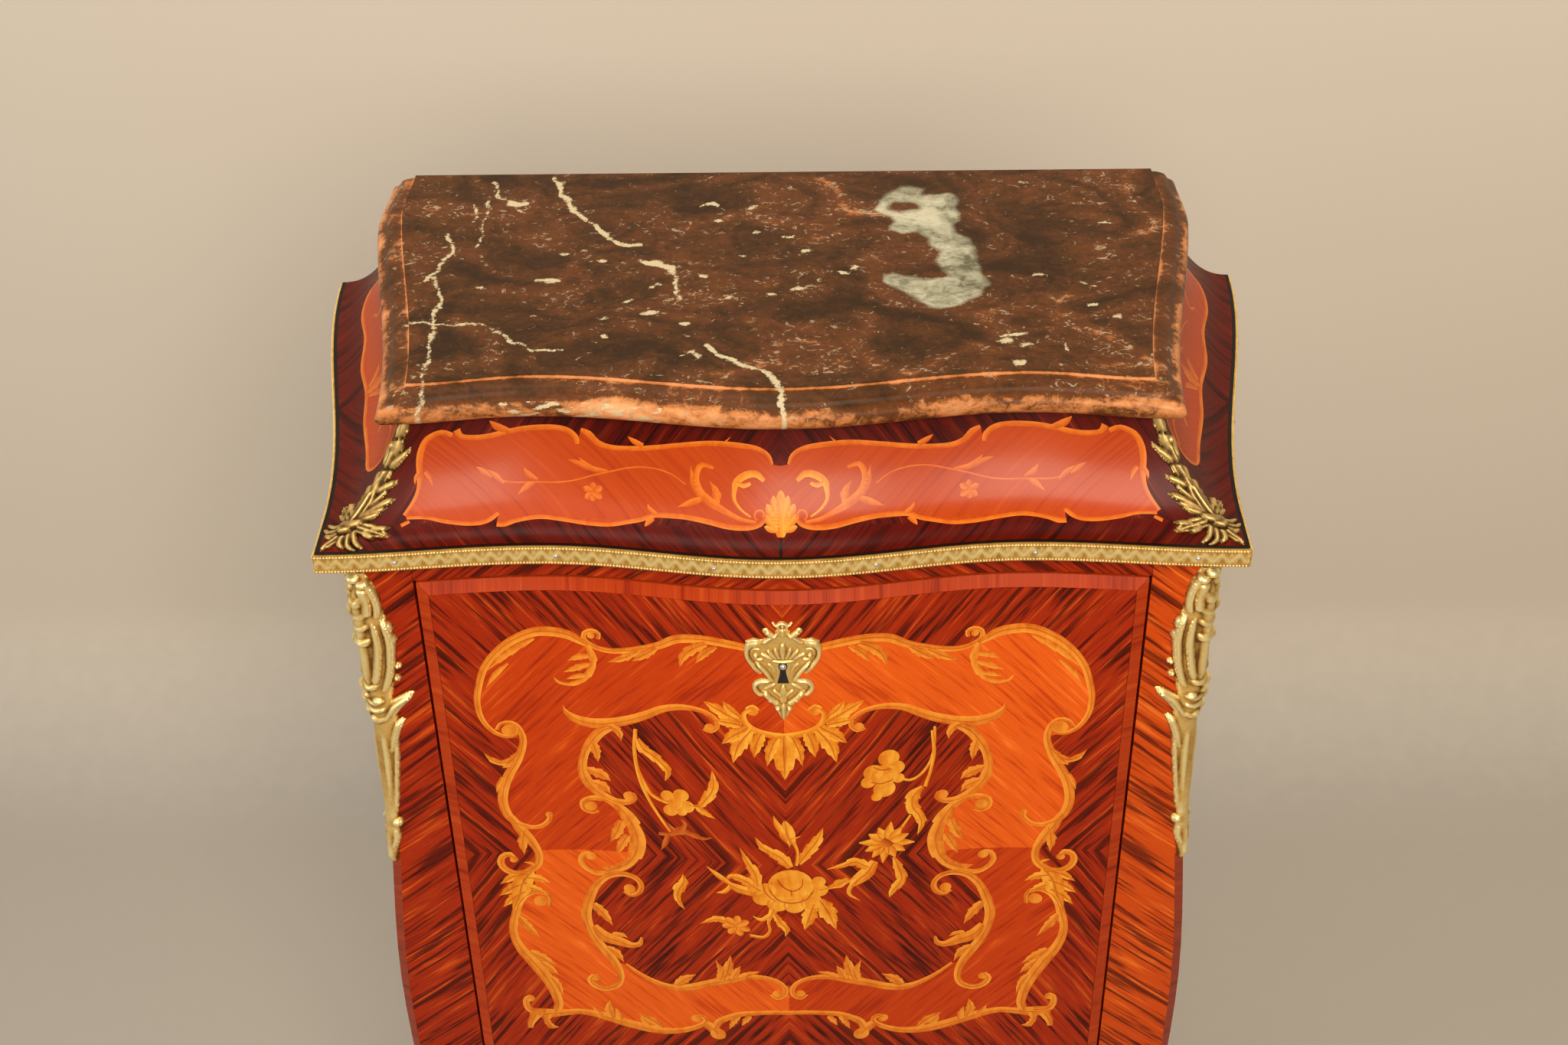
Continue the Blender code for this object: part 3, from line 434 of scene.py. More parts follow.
def sawn_ground(bm, outline, mirrors, stand):
    """Fills the drawn outline of an inlaid ground, once for each hand."""
    for mirror in mirrors:
        ring = [bm.verts.new(stand(mirror * across / 1000, along / 1000)) for across, along in outline]
        edges = [bm.edges.new(pair) for pair in zip(ring, ring[1:] + ring[:1])]
        bmesh.ops.triangle_fill(bm, edges=edges, use_beauty=True)


def shaded_inlay(name, burnt, middle, pale, polish=0.10):
    """Pale sawn wood, scorched in hot sand along one edge."""
    burnt, middle, pale = (daylight(*shade) for shade in (burnt, middle, pale))
    finish, nodes, links, shader = new_finish(name, 0.34)
    place = nodes.new("ShaderNodeTexCoord").outputs["UV"]
    spread = nodes.new("ShaderNodeSeparateXYZ")
    links.new(place, spread.inputs["Vector"])
    grain = figure(nodes, links, nodes.new("ShaderNodeTexCoord").outputs["Object"], (180, 40, 50), 3, 0.6)
    cloud = figure(nodes, links, place, (60, 1.5, 1), 2)
    tone = sum_up(nodes, links, (spread.outputs["Y"], 0.30), (grain, 0.45), (cloud, 0.55))
    colour = shades(nodes, links, tone, (0.40, burnt), (0.62, middle), (0.82, pale))
    links.new(colour, shader.inputs["Base Color"])
    press(nodes, links, shader, grain, 0.00004)
    shellac(shader, polish)
    return finish


scroll_wood = shaded_inlay("satinwood_scrolls", (196, 88, 15), (225, 129, 34), (238, 152, 50))
flower_wood = shaded_inlay("boxwood_flowers", (206, 98, 14), (230, 142, 34), (244, 172, 58))
faded_wood = shaded_inlay("faded_sprig", (150, 50, 8), (186, 82, 20), (206, 106, 34))
rib_wood = shaded_inlay("engraved_rib", (174, 74, 13), (204, 106, 25), (220, 128, 38))
ground_wood = sliced_veneer("satinwood_ground", (160, 40, 2), (192, 60, 5), (220, 90, 20), 14, 260)
# A lighter copy of the ground wood for two opposite quarters: painted sheen.
ground_painted_sheen = sliced_veneer("satinwood_leaf_painted_sheen", (194, 64, 7), (226, 92, 18), (248, 122, 40), 14, 260)

GROUND = (
    (0, 52), (33, 50), (60, 46), (80, 48), (94, 56), (110, 62), (133, 66), (146, 64), (152, 58),
    (167, 51), (187, 49), (206, 57), (221, 70), (231, 85), (237, 105), (239, 118), (238, 132),
    (231, 147), (219, 155), (208, 160), (209, 170), (214, 183), (222, 198), (227, 214), (228, 230),
    (224, 243), (217, 258), (212, 268), (207, 279), (205, 290), (207, 300), (210, 312), (212, 330),
    (222, 340), (230, 362), (233, 375), (233, 390), (228, 405), (220, 420), (213, 435), (208, 448),
    (205, 460), (203, 475), (200, 487), (185, 486), (172, 489), (158, 494), (145, 499), (130, 503),
    (115, 505), (100, 503), (88, 498), (76, 490), (66, 492), (60, 482), (43, 471), (30, 468), (15, 466),
    (0, 466), (0, 432), (8, 427), (18, 422), (30, 421), (44, 424), (58, 430), (70, 435), (82, 441),
    (94, 445), (106, 445), (118, 440), (130, 432), (140, 423), (149, 420), (158, 405), (165, 392),
    (169, 378), (171, 363), (169, 350), (165, 337), (159, 324), (150, 314), (140, 306), (134, 299),
    (127, 290), (123, 278), (122, 265), (125, 252), (130, 240), (137, 231), (148, 220), (156, 211),
    (161, 200), (162, 188), (159, 174), (153, 162), (146, 152), (138, 141), (122, 136), (108, 129),
    (95, 121), (82, 117), (70, 117), (60, 120), (50, 127), (40, 126), (30, 127), (23, 135), (12, 139),
    (0, 141))
ground = bmesh.new()
sawn_ground(ground, GROUND, (1, -1), lambda x, drop: (x, 0, fall_top - drop))
for line in range(-29, 30):
    cut_seam(ground, (line * GROUND_SLICE, 0, 0), (1, 0, 0))
cut_seam(ground, (0, 0, fall_top - SEAM_DROP), (0, 0, 1))
for vert in ground.verts:
    vert.co.y = field_y(vert.co.x) - GROUND_LIFT
lay_veneer(ground, 48, (0, 0, fall_top - SEAM_DROP))
# The upper right and lower left quarters take the lighter copy: painted sheen, not another wood.
for face in ground.faces:
    middle = face.calc_center_median()
    face.material_index = int(middle.x * (middle.z - fall_top + SEAM_DROP) > 0)
let_in("fall_inlay_ground", ground, [ground_wood, ground_painted_sheen], "fall", ahead_of_fall)

OUTER_FRAME = (
    ((14, 56, 4), (33, 50, 7), (60, 46, 8), (80, 48, 8), (94, 56, 7), (110, 62, 6), (122, 65, 5.5),
     (134, 66, 5), (144, 63, 4.5), (151, 57, 4), (151, 50, 4), (145, 47, 4), (140, 50, 3.5),
     (141, 55, 3)),
    ((58, 50, 6), (68, 56, 9), (76, 65, 7), (79, 76, 0)), ((50, 52, 3), (60, 60, 7), (67, 71, 0)),
    ((96, 59, 4), (106, 67, 8), (116, 75, 0)), ((110, 64, 4), (122, 72, 7), (135, 78, 0)),
    ((149, 62, 4), (156, 57, 7), (167, 51, 9), (187, 49, 9), (206, 57, 8), (221, 70, 7), (231, 85, 6),
     (237, 105, 5.5), (239, 118, 5), (238, 132, 4.5), (234, 143, 4), (227, 152, 3.8), (218, 156, 3.5),
     (211, 153, 3.5), (209, 147, 3.5)),
    ((190, 56, 3), (203, 64, 6), (216, 74, 6), (228, 86, 0)),
    ((212, 80, 2), (222, 90, 5), (231, 104, 0)),
    ((150, 62, 5), (147, 70, 6), (146, 78, 6), (149, 88, 6), (155, 97, 5), (165, 102, 4), (174, 100, 3),
     (178, 95, 0)),
    ((147, 72, 3), (157, 74, 6), (166, 78, 0)), ((148, 80, 3), (159, 85, 6), (170, 90, 0)),
    ((152, 92, 3), (161, 94, 5), (168, 97, 0)),
    ((227, 148, 3), (223, 142, 3.5), (216, 141, 4), (210, 146, 4.5), (207, 158, 5.5), (209, 170, 6.5),
     (214, 183, 7.5), (222, 198, 8.5), (227, 212, 8.5), (229, 228, 8), (226, 242, 7.5), (219, 252, 6),
     (208, 257, 4.5), (199, 255, 4.5), (193, 248, 4.5), (193, 241, 4)),
    ((211, 172, 3), (217, 180, 7), (225, 184, 6), (233, 180, 5), (239, 172, 0)),
    ((214, 180, 5), (220, 186, 5), (226, 189, 0)), ((226, 200, 5), (231, 208, 4), (233, 216, 0)),
    ((224, 244, 6), (218, 258, 9), (212, 269, 9), (207, 280, 7), (205, 290, 6.5), (207, 300, 7),
     (214, 307, 7), (223, 310, 6), (232, 306, 6), (237, 297, 6), (235, 289, 6), (229, 287, 6),
     (226, 292, 4)),
    ((214, 260, 5), (217, 273, 9), (217, 288, 0)), ((207, 302, 3), (213, 298, 3), (218, 297, 0)),
    ((201, 350, 3), (200, 341, 3.5), (204, 334, 4), (213, 333, 5), (222, 339, 5.5), (228, 350, 7),
     (231, 362, 8), (234, 375, 7), (233, 390, 7.5), (228, 405, 9), (220, 420, 11), (213, 435, 11),
     (208, 448, 10), (205, 460, 9), (203, 475, 8), (206, 486, 8)),
    ((228, 362, 6), (222, 374, 8), (212, 390, 0)), ((222, 406, 7), (212, 415, 9), (201, 425, 0)),
    ((214, 420, 5), (207, 428, 7), (200, 438, 0)), ((207, 440, 6), (202, 450, 7), (198, 465, 0)),
    ((229, 484, 8), (215, 487, 12), (200, 487, 8), (185, 486, 7), (172, 489, 8), (158, 494, 10),
     (145, 499, 10), (130, 503, 10), (115, 505, 9), (100, 503, 7), (88, 498, 6), (78, 491, 5),
     (73, 484, 5), (76, 479, 5), (82, 481, 4)),
    ((215, 485, 9), (227, 482, 7), (231, 474, 6), (230, 466, 6), (226, 464, 5)),
    ((214, 488, 9), (215, 497, 6), (211, 505, 6), (205, 506, 0)),
    ((224, 488, 10), (229, 498, 7), (230, 505, 4)), ((156, 494, 6), (159, 482, 8), (157, 470, 0)),
    ((150, 497, 5), (151, 488, 6), (153, 480, 0)), ((166, 491, 5), (170, 486, 5), (173, 479, 0)),
    ((112, 501, 4), (122, 492, 9), (134, 485, 0)), ((124, 500, 5), (129, 494, 5), (131, 488, 0)),
    ((74, 488, 9), (67, 494, 11), (63, 500, 10)),
    ((66, 494, 7), (62, 484, 7), (54, 477, 6.5), (43, 471, 6), (30, 468, 5.5), (15, 466, 5),
     (-0.5, 466, 5)),
    ((34, 472, 4), (38, 478, 6), (42, 486, 0)), ((44, 474, 4), (49, 482, 6), (53, 492, 0)))
INNER_FRAME = (
    ((173, 124, 0), (171, 131, 4), (164, 138, 8), (152, 142, 10), (138, 141, 10), (122, 136, 9),
     (108, 129, 8), (95, 121, 7), (82, 117, 6), (70, 117, 5), (60, 120, 4.5), (53, 126, 4),
     (52, 133, 4), (57, 139, 3.5), (63, 137, 3)),
    ((140, 142, 6), (131, 149, 7), (129, 159, 0)),
    ((136, 145, 6), (146, 152, 9), (153, 162, 9), (159, 174, 7), (162, 188, 7.5), (161, 200, 9),
     (156, 211, 9), (148, 220, 8), (138, 226, 7), (128, 226, 6), (122, 221, 5.5), (124, 216, 5)),
    ((152, 163, 6), (150, 172, 8), (149, 184, 0)), ((159, 192, 6), (148, 197, 10), (140, 204, 0)),
    ((156, 206, 6), (147, 210, 9), (141, 218, 0)),
    ((152, 238, 3), (158, 240, 4), (164, 236, 5), (164, 228, 5), (156, 224, 5), (146, 225, 6),
     (137, 231, 8), (130, 240, 11), (125, 252, 13), (122, 265, 14), (123, 278, 13), (127, 290, 11),
     (134, 299, 10), (143, 304, 8), (155, 303, 0)),
    ((134, 248, 8), (139, 262, 9), (145, 273, 0)), ((130, 264, 8), (136, 276, 8), (141, 288, 0)),
    ((132, 296, 4), (143, 307, 6), (157, 311, 5), (166, 306, 5), (171, 297, 5), (168, 289, 5),
     (162, 288, 4)),
    ((137, 331, 3), (131, 335, 4), (124, 330, 5), (122, 321, 5), (127, 313, 5), (138, 310, 6),
     (150, 314, 7), (159, 324, 7), (165, 337, 8), (169, 350, 9), (171, 363, 9), (169, 378, 8),
     (165, 392, 8), (158, 405, 9), (151, 418, 8), (147, 430, 7), (146, 440, 6), (150, 450, 6),
     (160, 455, 6), (169, 452, 6), (173, 444, 6), (169, 438, 5)),
    ((164, 348, 7), (156, 360, 9), (149, 374, 0)),
    ((166, 376, 8), (157, 388, 12), (145, 393, 11), (134, 397, 7), (127, 394, 5), (125, 386, 2)),
    ((150, 385, 6), (142, 385, 5), (137, 388, 0)), ((156, 402, 6), (148, 408, 8), (142, 420, 0)),
    ((141, 422, 3), (130, 432, 4), (118, 440, 5), (106, 445, 7), (94, 445, 8), (82, 441, 8),
     (70, 435, 8), (58, 430, 9), (44, 424, 8), (30, 421, 6), (18, 422, 5), (8, 427, 4.5), (3, 435, 4.5),
     (4, 443, 4), (10, 447, 4), (15, 442, 4)),
    ((98, 442, 6), (90, 433, 9), (80, 425, 0)), ((56, 428, 8), (52, 414, 11), (49, 396, 0)),
    ((60, 428, 5), (58, 416, 6), (62, 404, 0)), ((48, 426, 6), (45, 417, 7), (41, 408, 0)),
    ((40, 421, 6), (33, 417, 5), (25, 414, 0)))
SWAG = (
    ((29, 113, 3), (24, 110, 3.5), (20, 114, 3.5)),
    ((26, 113, 3), (31, 118, 4), (30, 127, 5), (23, 135, 6), (12, 139, 6), (-0.5, 141, 6)),
    ((32, 128, 6), (43, 121, 12), (53, 114, 9), (62, 108, 0)),
    ((34, 122, 4), (42, 114, 7), (47, 106, 0)), ((34, 130, 7), (45, 128, 9), (54, 127, 0)),
    ((28, 132, 8), (40, 142, 12), (49, 151, 0)), ((26, 135, 8), (36, 152, 13), (41, 171, 0)),
    ((18, 138, 8), (22, 150, 11), (24, 164, 0)), ((6, 142, 8), (11, 156, 9), (14, 173, 0)),
    ((0, 140, 8), (0, 155, 24), (0, 170, 16), (0, 187, 0)))
EYES = (
    (146, 52, 3), (217, 149, 6), (193, 243, 3), (226, 293, 3.5), (208, 344, 6), (82, 483, 4.5),
    (227, 466, 4), (63, 500, 7), (58, 135, 4), (126, 219, 5), (158, 233, 5), (162, 291, 4.5),
    (132, 327, 5), (168, 441, 4), (10, 441, 4), (24, 115, 4.5))
PALMETTE = (
    ((216, 311, 8), (228, 313, 10), (240, 321, 0)), ((218, 321, 9), (231, 327, 10), (242, 335, 0)),
    ((220, 332, 9), (231, 339, 9), (240, 349, 0)), ((217, 315, 9), (208, 317, 8), (198, 323, 0)),
    ((216, 327, 8), (209, 331, 7), (201, 339, 0)),
    ((213, 308, 6), (221, 321, 17), (226, 339, 12), (231, 352, 3)))

scrolls = bmesh.new()
blooms = bmesh.new()
lifts = stacked(0.00012, 0.0000015)
for mirror in (1, -1):
    for points in OUTER_FRAME + INNER_FRAME:
        saw_strip(scrolls, on_fall, points, next(lifts), mirror)
    for eye in EYES:
        saw_eye(scrolls, on_fall, *eye, next(lifts), mirror)
    for points in SWAG + PALMETTE:
        saw_strip(blooms, on_fall, points, next(lifts), mirror)

# The spray of flowers in the middle isn't mirrored: a rose, a daisy, buds and leaves on thin
# stems, sawn from pale boxwood, with a few faded sprigs that have nearly lost their colour.
LEAVES = (
    ((3, 286, 7), (-4, 275, 11), (-14, 267, 8), (-20, 262, 6), (-25, 252, 0)),
    ((10, 282, 5), (18, 268, 10), (25, 256, 9), (30, 242, 0)),
    ((8, 284, 2.5), (9, 268, 2.5), (6, 257, 3)), ((5, 259, 6), (1, 248, 13), (0, 239, 9), (-1, 233, 2)),
    ((-2, 248, 5), (-7, 237, 5), (-10, 227, 0)), ((4, 254, 3), (12, 250, 0)),
    ((2, 255, 3), (3, 263, 0)), ((-24, 308, 7), (-26, 294, 9), (-32, 281, 6), (-38, 265, 0)),
    ((-22, 314, 8), (-36, 302, 9), (-46, 299, 5), (-49, 303, 0)),
    ((-26, 317, 9), (-40, 313, 9), (-48, 308, 4)), ((-46, 309, 3), (-56, 300, 5), (-66, 290, 0)),
    ((-46, 310, 4), (-52, 318, 4), (-59, 320, 0)),
    ((27, 314, 4), (36, 311, 4), (44, 308, 9), (50, 303, 3)),
    ((22, 330, 8), (18, 346, 13), (14, 361, 0)), ((27, 326, 9), (34, 342, 15), (41, 363, 0)),
    ((-11, 335, 8), (-14, 344, 5), (-16, 352, 2.5), (-15, 362, 2.5), (-20, 370, 3), (-32, 369, 3)),
    ((-15, 343, 4), (-22, 349, 4), (-29, 345, 0)),
    ((-11, 341, 4), (-6, 352, 7), (-1, 360, 6), (-2, 369, 0)),
    ((-50, 354, 6), (-60, 352, 7), (-74, 360, 0)),
    ((88, 284, 3), (92, 297, 8), (95, 311, 9), (88, 323, 7), (85, 331, 0)),
    ((72, 286, 7), (66, 298, 13), (58, 306, 11), (53, 312, 4)),
    ((67, 292, 9), (56, 284, 9), (46, 287, 5), (33, 290, 0)),
    ((58, 305, 4), (52, 314, 4), (52, 322, 3), (61, 331, 0)), ((48, 308, 2.5), (56, 303, 3)),
    ((101, 238, 2), (94, 251, 2)),
    ((110, 208, 4), (103, 216, 11), (102, 228, 11), (108, 240, 9), (110, 250, 6), (107, 262, 0)),
    ((104, 222, 6), (95, 224, 0)), ((108, 236, 6), (115, 247, 0)),
    ((118, 144, 2.2), (118, 165, 2.2), (115, 182, 2.2), (108, 194, 2.2), (100, 199, 2.5), (92, 196, 2)),
    ((116, 148, 2.5), (118, 170, 3), (116, 190, 2.5), (112, 208, 3)),
    ((-78, 222, 3), (-70, 222, 4), (-64, 214, 9), (-58, 202, 9), (-57, 192, 6), (-58, 181, 0)),
    ((-72, 222, 4), (-66, 228, 6), (-57, 234, 0)),
    ((-117, 145, 3), (-119, 165, 3), (-118, 185, 3), (-113, 203, 3), (-108, 214, 3), (-102, 219, 3),
     (-95, 222, 3)),
    ((-117, 150, 2.5), (-119, 170, 3), (-117, 195, 3), (-112, 215, 3), (-104, 235, 2.5), (-94, 255, 2)),
    ((-116, 155, 4), (-112, 165, 9), (-104, 172, 9), (-97, 180, 8), (-93, 188, 6), (-96, 198, 0)),
    ((-86, 302, 0), (-86, 312, 8), (-90, 320, 10), (-92, 330, 6), (-90, 338, 4), (-86, 345, 0)))
ROSES = (
    (-17, 313, 8), (-26, 312, 7), (-20, 322, 9), (-8, 329, 9), (6, 331, 9), (20, 327, 9), (27, 314, 7),
    (26, 304, 6), (3, 308, 19), (82, 172, 8.5), (70, 186, 8), (66, 196, 6), (88, 183, 7), (90, 195, 5),
    (79, 205, 9), (73, 213, 4.5), (79, 190, 11), (-95, 214, 5.5), (-84, 212, 6.5), (-80, 224, 6.5),
    (-84, 230, 4.5), (-93, 230, 6), (-89, 222, 6), (43, 308, 5))
for points in LEAVES:
    saw_strip(blooms, on_fall, points, next(lifts))
for petal in ROSES:
    saw_eye(blooms, on_fall, *petal, next(lifts))


def saw_petals(bm, x, drop, count, turn_by, start, widths, reaches):
    """A ring of petals round the eye of a flower; every third may reach further."""
    for petal in range(count):
        turn = math.radians(petal * turn_by + start)
        away = (0, reaches[0], reaches[1 + (petal % 3 == 0)])
        saw_strip(bm, on_fall, tuple((x + reach * math.cos(turn), drop + reach * math.sin(turn), width)
                                     for reach, width in zip(away, widths)), next(lifts))


saw_petals(blooms, 82, 266, 12, 30, 8, (3, 8, 1), (11, 19, 23))
saw_petals(scrolls, -43, 358, 7, 51, 20, (3, 7, 3), (8, 12, 12))
let_in("fall_scrolls", scrolls, [scroll_wood], "fall", ahead_of_fall)
let_in("fall_flowers", blooms, [flower_wood], "fall", ahead_of_fall)

SHADING = (
    ((-15, 312, 1.2), (-8, 324, 1.4), (4, 328, 1.4), (16, 324, 1.2), (22, 314, 1)),
    ((-8, 300, 1), (-4, 308, 1.2), (4, 314, 1.2), (12, 309, 1), (13, 300, 0.8)),
    ((-20, 306, 1), (-18, 316, 1), (-10, 326, 1)), ((3, 312, 1), (4, 320, 0.8)),
    ((70, 180, 1), (76, 184, 1.2), (84, 184, 1)), ((68, 196, 1), (76, 199, 1.2), (86, 196, 1)),
    ((-104, 258, 4), (-94, 257, 5), (-86, 252, 9), (-78, 254, 6), (-68, 258, 4), (-60, 256, 0)),
    ((-96, 258, 4), (-99, 268, 5), (-103, 277, 0)), ((-86, 252, 5), (-82, 244, 4), (-85, 239, 0)),
    ((-92, 252, 5), (-96, 245, 0)), ((78, 262, 6), (86, 270, 6)))
faded = bmesh.new()
for points in SHADING:
    saw_strip(faded, on_fall, points, next(lifts))
sprig_faces = set(faded.faces)
for group, mirrors in ((OUTER_FRAME + INNER_FRAME + SWAG + PALMETTE, (1, -1)), (LEAVES, (1,))):
    for points in group:
        rib = tuple((x, drop, 0.1 * width + 0.2) for x, drop, width in points)
        if max(width for x, drop, width in points) > 6.5:
            for mirror in mirrors:
                saw_strip(faded, on_fall, rib, next(lifts), mirror)
for face in faded.faces:
    face.material_index = int(face not in sprig_faces)
let_in("fall_faded_sprigs", faded, [faded_wood, rib_wood], "fall", ahead_of_fall)

# The frieze sweeps in from the band to the marble: a front and two sides, mitred at the corners,
# veneered in kingwood, with two scrolled cartouches on the front and one on each side.
BAND_HALF = 0.341
BAND_OUT = 0.0134
CORNER_Y = -0.1893
BACK_Y = 0.200
FLARE = 0.045
FLARE_Y = -0.1443
FOOT_RISE = 0.0006
SWEEP_RISE = 0.0771
SWEEP_IN = 0.066
SWEEP_BEND = 0.43
band_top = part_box("band_front")[1].z
marble_low, marble_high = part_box("marble_top")


def side_out(y):
    """How far the sides have flared out, from the front corner to the back."""
    share = min(max((y - FLARE_Y) / (BACK_Y - FLARE_Y), 0.0), 1.0)
    return FLARE * share * share * (3 - 2 * share)


def sweep(rise):
    """Inset of the frieze at a height above the band."""
    return SWEEP_IN * min(max((rise - FOOT_RISE) / SWEEP_RISE, 0.0), 1.0) ** SWEEP_BEND


def climbed(share):
    """Height above the band where the frieze has swept in by a share of its whole inset."""
    return FOOT_RISE + SWEEP_RISE * share ** (1 / SWEEP_BEND)


def front_line(x, inset):
    """The serpentine front of band, frieze and marble, drawn in by an inset."""
    return HOLLOW_Y - serpentine(x, BAND_HALF - inset) - BAND_OUT + inset


def on_frieze(x, rise):
    """A place on the front of the frieze, at a height above the band."""
    return Vector((x, front_line(x, sweep(rise)), band_top + rise))


def on_side_frieze(y, rise):
    """A place on the right side of the frieze, at a height above the band."""
    return Vector((BAND_HALF + side_out(y) - sweep(rise), y, band_top + rise))


def raised(surface, outward):
    """A surface that also takes a height above it."""
    def lay(s, t, lift=0.0):
        here = surface(s, t)
        normal = (surface(s + 1e-4, t) - here).cross(surface(s, t + 1e-4) - here).normalized()
        return here + normal * (lift if normal.dot(outward) > 0 else -lift)
    return lay


PLINTH = 0.0033
PLINTH_LOW, PLINTH_HIGH = -0.016, 0.0003
FOOT_SHADOW_RISE = 0.0026
FRIEZE_THICK = 0.018
SWEEP_STEPS = 44
steps = [(PLINTH_LOW, PLINTH), (PLINTH_HIGH, PLINTH)]
steps += [(climbed(step / SWEEP_STEPS), 0.0) for step in range(SWEEP_STEPS + 1)]
# A darker copy of the body's kingwood for the frieze: painted shade.
frieze_kingwood_painted_shade = sliced_veneer("frieze_kingwood_painted_shade", (48, 5, 0), (86, 14, 1), (124, 36, 8),
                                10, 190, 0.5, 0.02)
# Near black: the shrunk open seam in the frieze's middle, and a painted shadow along the frieze's foot
# above the band.
black_seam_and_foot_shadow = sliced_veneer("black_seam_and_painted_shadow", (12, 8, 6), (18, 11, 8), (30, 18, 12), 7, 190)


def frieze_piece(name, hand, node):
    """One length of the frieze: hand 0 is the front, 1 and -1 are the sides."""
    bm = bmesh.new()
    bmesh.ops.create_grid(bm, x_segments=120, y_segments=len(steps) - 1, size=1)

    def place(share, row, extra):
        rise, inset = steps[row]
        inset += extra
        total = sweep(rise) + inset
        if hand == 0:
            x = share * (BAND_HALF - total - 0.00015)
            return Vector((x, front_line(x, total), band_top + rise))
        start = CORNER_Y + total + 0.0002
        y = start + (share + 1) / 2 * (BACK_Y - 0.0003 - start)
        return Vector((hand * (BAND_HALF + side_out(y) - total), y, band_top + rise))

    rows = {vert: (vert.co.x, round((vert.co.y + 1) / 2 * (len(steps) - 1))) for vert in bm.verts}
    for vert, (share, row) in rows.items():
        vert.co = place(share, row, 0.0)
    grown = bmesh.ops.extrude_face_region(bm, geom=bm.faces[:], use_keep_orig=True)["geom"]
    inner = [part for part in grown if isinstance(part, bmesh.types.BMVert)]
    near = {tuple(round(c, 6) for c in vert.co): key for vert, key in rows.items()}
    for vert in inner:
        share, row = near[tuple(round(c, 6) for c in vert.co)]
        vert.co = place(share, row, FRIEZE_THICK)
    bmesh.ops.recalc_face_normals(bm, faces=bm.faces)
    lay_veneer(bm, 52, (0, 0, 0))
    # A thin band at the frieze's foot takes the near-black finish: painted shadow of the gap above the
    # band.
    line_top = climbed(FOOT_SHADOW_RISE / SWEEP_IN) + 0.0001
    for face in bm.faces:
        rises = [vert.co.z - band_top for vert in face.verts]
        face.material_index = int(min(rises) > 0.0002 and max(rises) < line_top)
    # The frieze's veneer takes the darker kingwood copy, which is painted shade.
    put_up(name, bm, [frieze_kingwood_painted_shade, black_seam_and_foot_shadow], "carcass", [node])


for hand, word in ((0, "front"), (1, "right"), (-1, "left")):
    frieze_piece(f"frieze_{word}_veneer", hand, f"frieze_{word}")

# The frieze's cartouches are sawn like the fall's inlay. Sizes are millimetres from the middle and
# up the sweep from the band, with a width; the front's right half is drawn and turned over.
climb = np.linspace(0, 1, 200)
climb_rise = climbed(climb)
climb_length = np.concatenate(([0], np.cumsum(np.hypot(np.diff(climb_rise), SWEEP_IN * np.diff(climb)))))
front_out = Vector((0, -0.6, 0.8))


def up_sweep(length):
    """Height above the band after a length up the sweep."""
    return float(np.interp(length, climb_length, climb_rise))


def up_frieze(x, length):
    """A place on the front of the frieze, after a length up the sweep."""
    return on_frieze(x, up_sweep(length))


UPPER_FRAME = (
    (6, 75, 2), (9, 82, 3), (18, 87, 3.8), (34, 89, 4), (52, 89, 4), (73, 86, 3.7), (95, 82, 3.7),
    (113, 80, 3.7), (126, 80, 4), (135, 83, 4.4), (141, 89, 4.8), (147, 92, 2.6))
END_FRAME = (
    (150, 81, 3), (151, 86, 4.4), (157, 91, 4.4), (166, 93, 4), (178, 93, 4), (191, 92, 4),
    (204, 90, 4), (216, 88, 4), (227, 88, 4), (235, 90, 4), (238, 95, 5.5))
SIDE_FRAME = (
    (241, 91, 4), (249, 94, 4), (259, 90, 4.4), (264, 82, 4.8), (266, 73, 4.8), (266, 61, 4.4),
    (267, 54, 3), (269, 47, 3), (273, 40, 2.6), (278, 33, 2.4))
FOOT_FRAME = (
    (276, 31, 2.6), (262, 30, 2.6), (248, 26, 3), (232, 23, 3.3), (221, 23, 3.3), (214, 26, 3.7),
    (209, 30, 2.6))
LOWER_FRAME = (
    (210, 21, 3.7), (204, 21, 4.4), (198, 23, 3.7), (188, 25, 3.3), (176, 26, 3.3), (159, 24, 3.3),
    (143, 22, 3.3), (127, 22, 3.3), (114, 25, 3.3), (103, 28, 3.3), (94, 32, 3.7), (83, 33, 4),
    (69, 33, 4), (54, 31, 4), (38, 28, 4), (24, 28, 4), (15, 31, 3.7), (11, 36, 2.6))
FRAME_PIECES = (UPPER_FRAME, END_FRAME, SIDE_FRAME, FOOT_FRAME, LOWER_FRAME)
CARTOUCHE = ((0, 36), (0, 74)) + tuple((x, length) for piece in FRAME_PIECES for x, length, width in piece)
FRIEZE_SCROLLS = (
    ((101, 83, 3.7), (108, 86, 4), (112, 89, 0)), ((41, 90, 2), (36, 95, 0)),
    ((200, 91, 3.7), (209, 95, 5.5), (214, 100, 0)), ((262, 65, 3), (259, 61, 3.3), (257, 54, 0)),
    ((266, 65, 3), (269, 61, 3), (270, 56, 0)), ((280, 25, 3), (274, 28, 2.6)),
    ((92, 33, 3.7), (97, 37, 3), (98, 40, 0.6)), ((94, 30, 3.7), (98, 26, 3.7), (100, 23, 0.6)),
    ((11, 36, 1.8), (14, 41, 1.8), (18, 40, 1.8), (19, 36, 1.5), (17, 34, 1)),
    ((18, 32, 2.6), (29, 34, 3.3), (40, 39, 4.4), (51, 45, 6.6), (59, 52, 6.2), (62, 61, 4.8),
     (61, 68, 4.4), (57, 73, 3.7), (49, 71, 2.2)),
    ((60, 50, 3.7), (64, 59, 5.1), (66, 71, 0)), ((49, 42, 4.4), (47, 52, 6.2), (52, 61, 0)),
    ((57, 48, 3.7), (66, 44, 5.1), (76, 40, 0)))
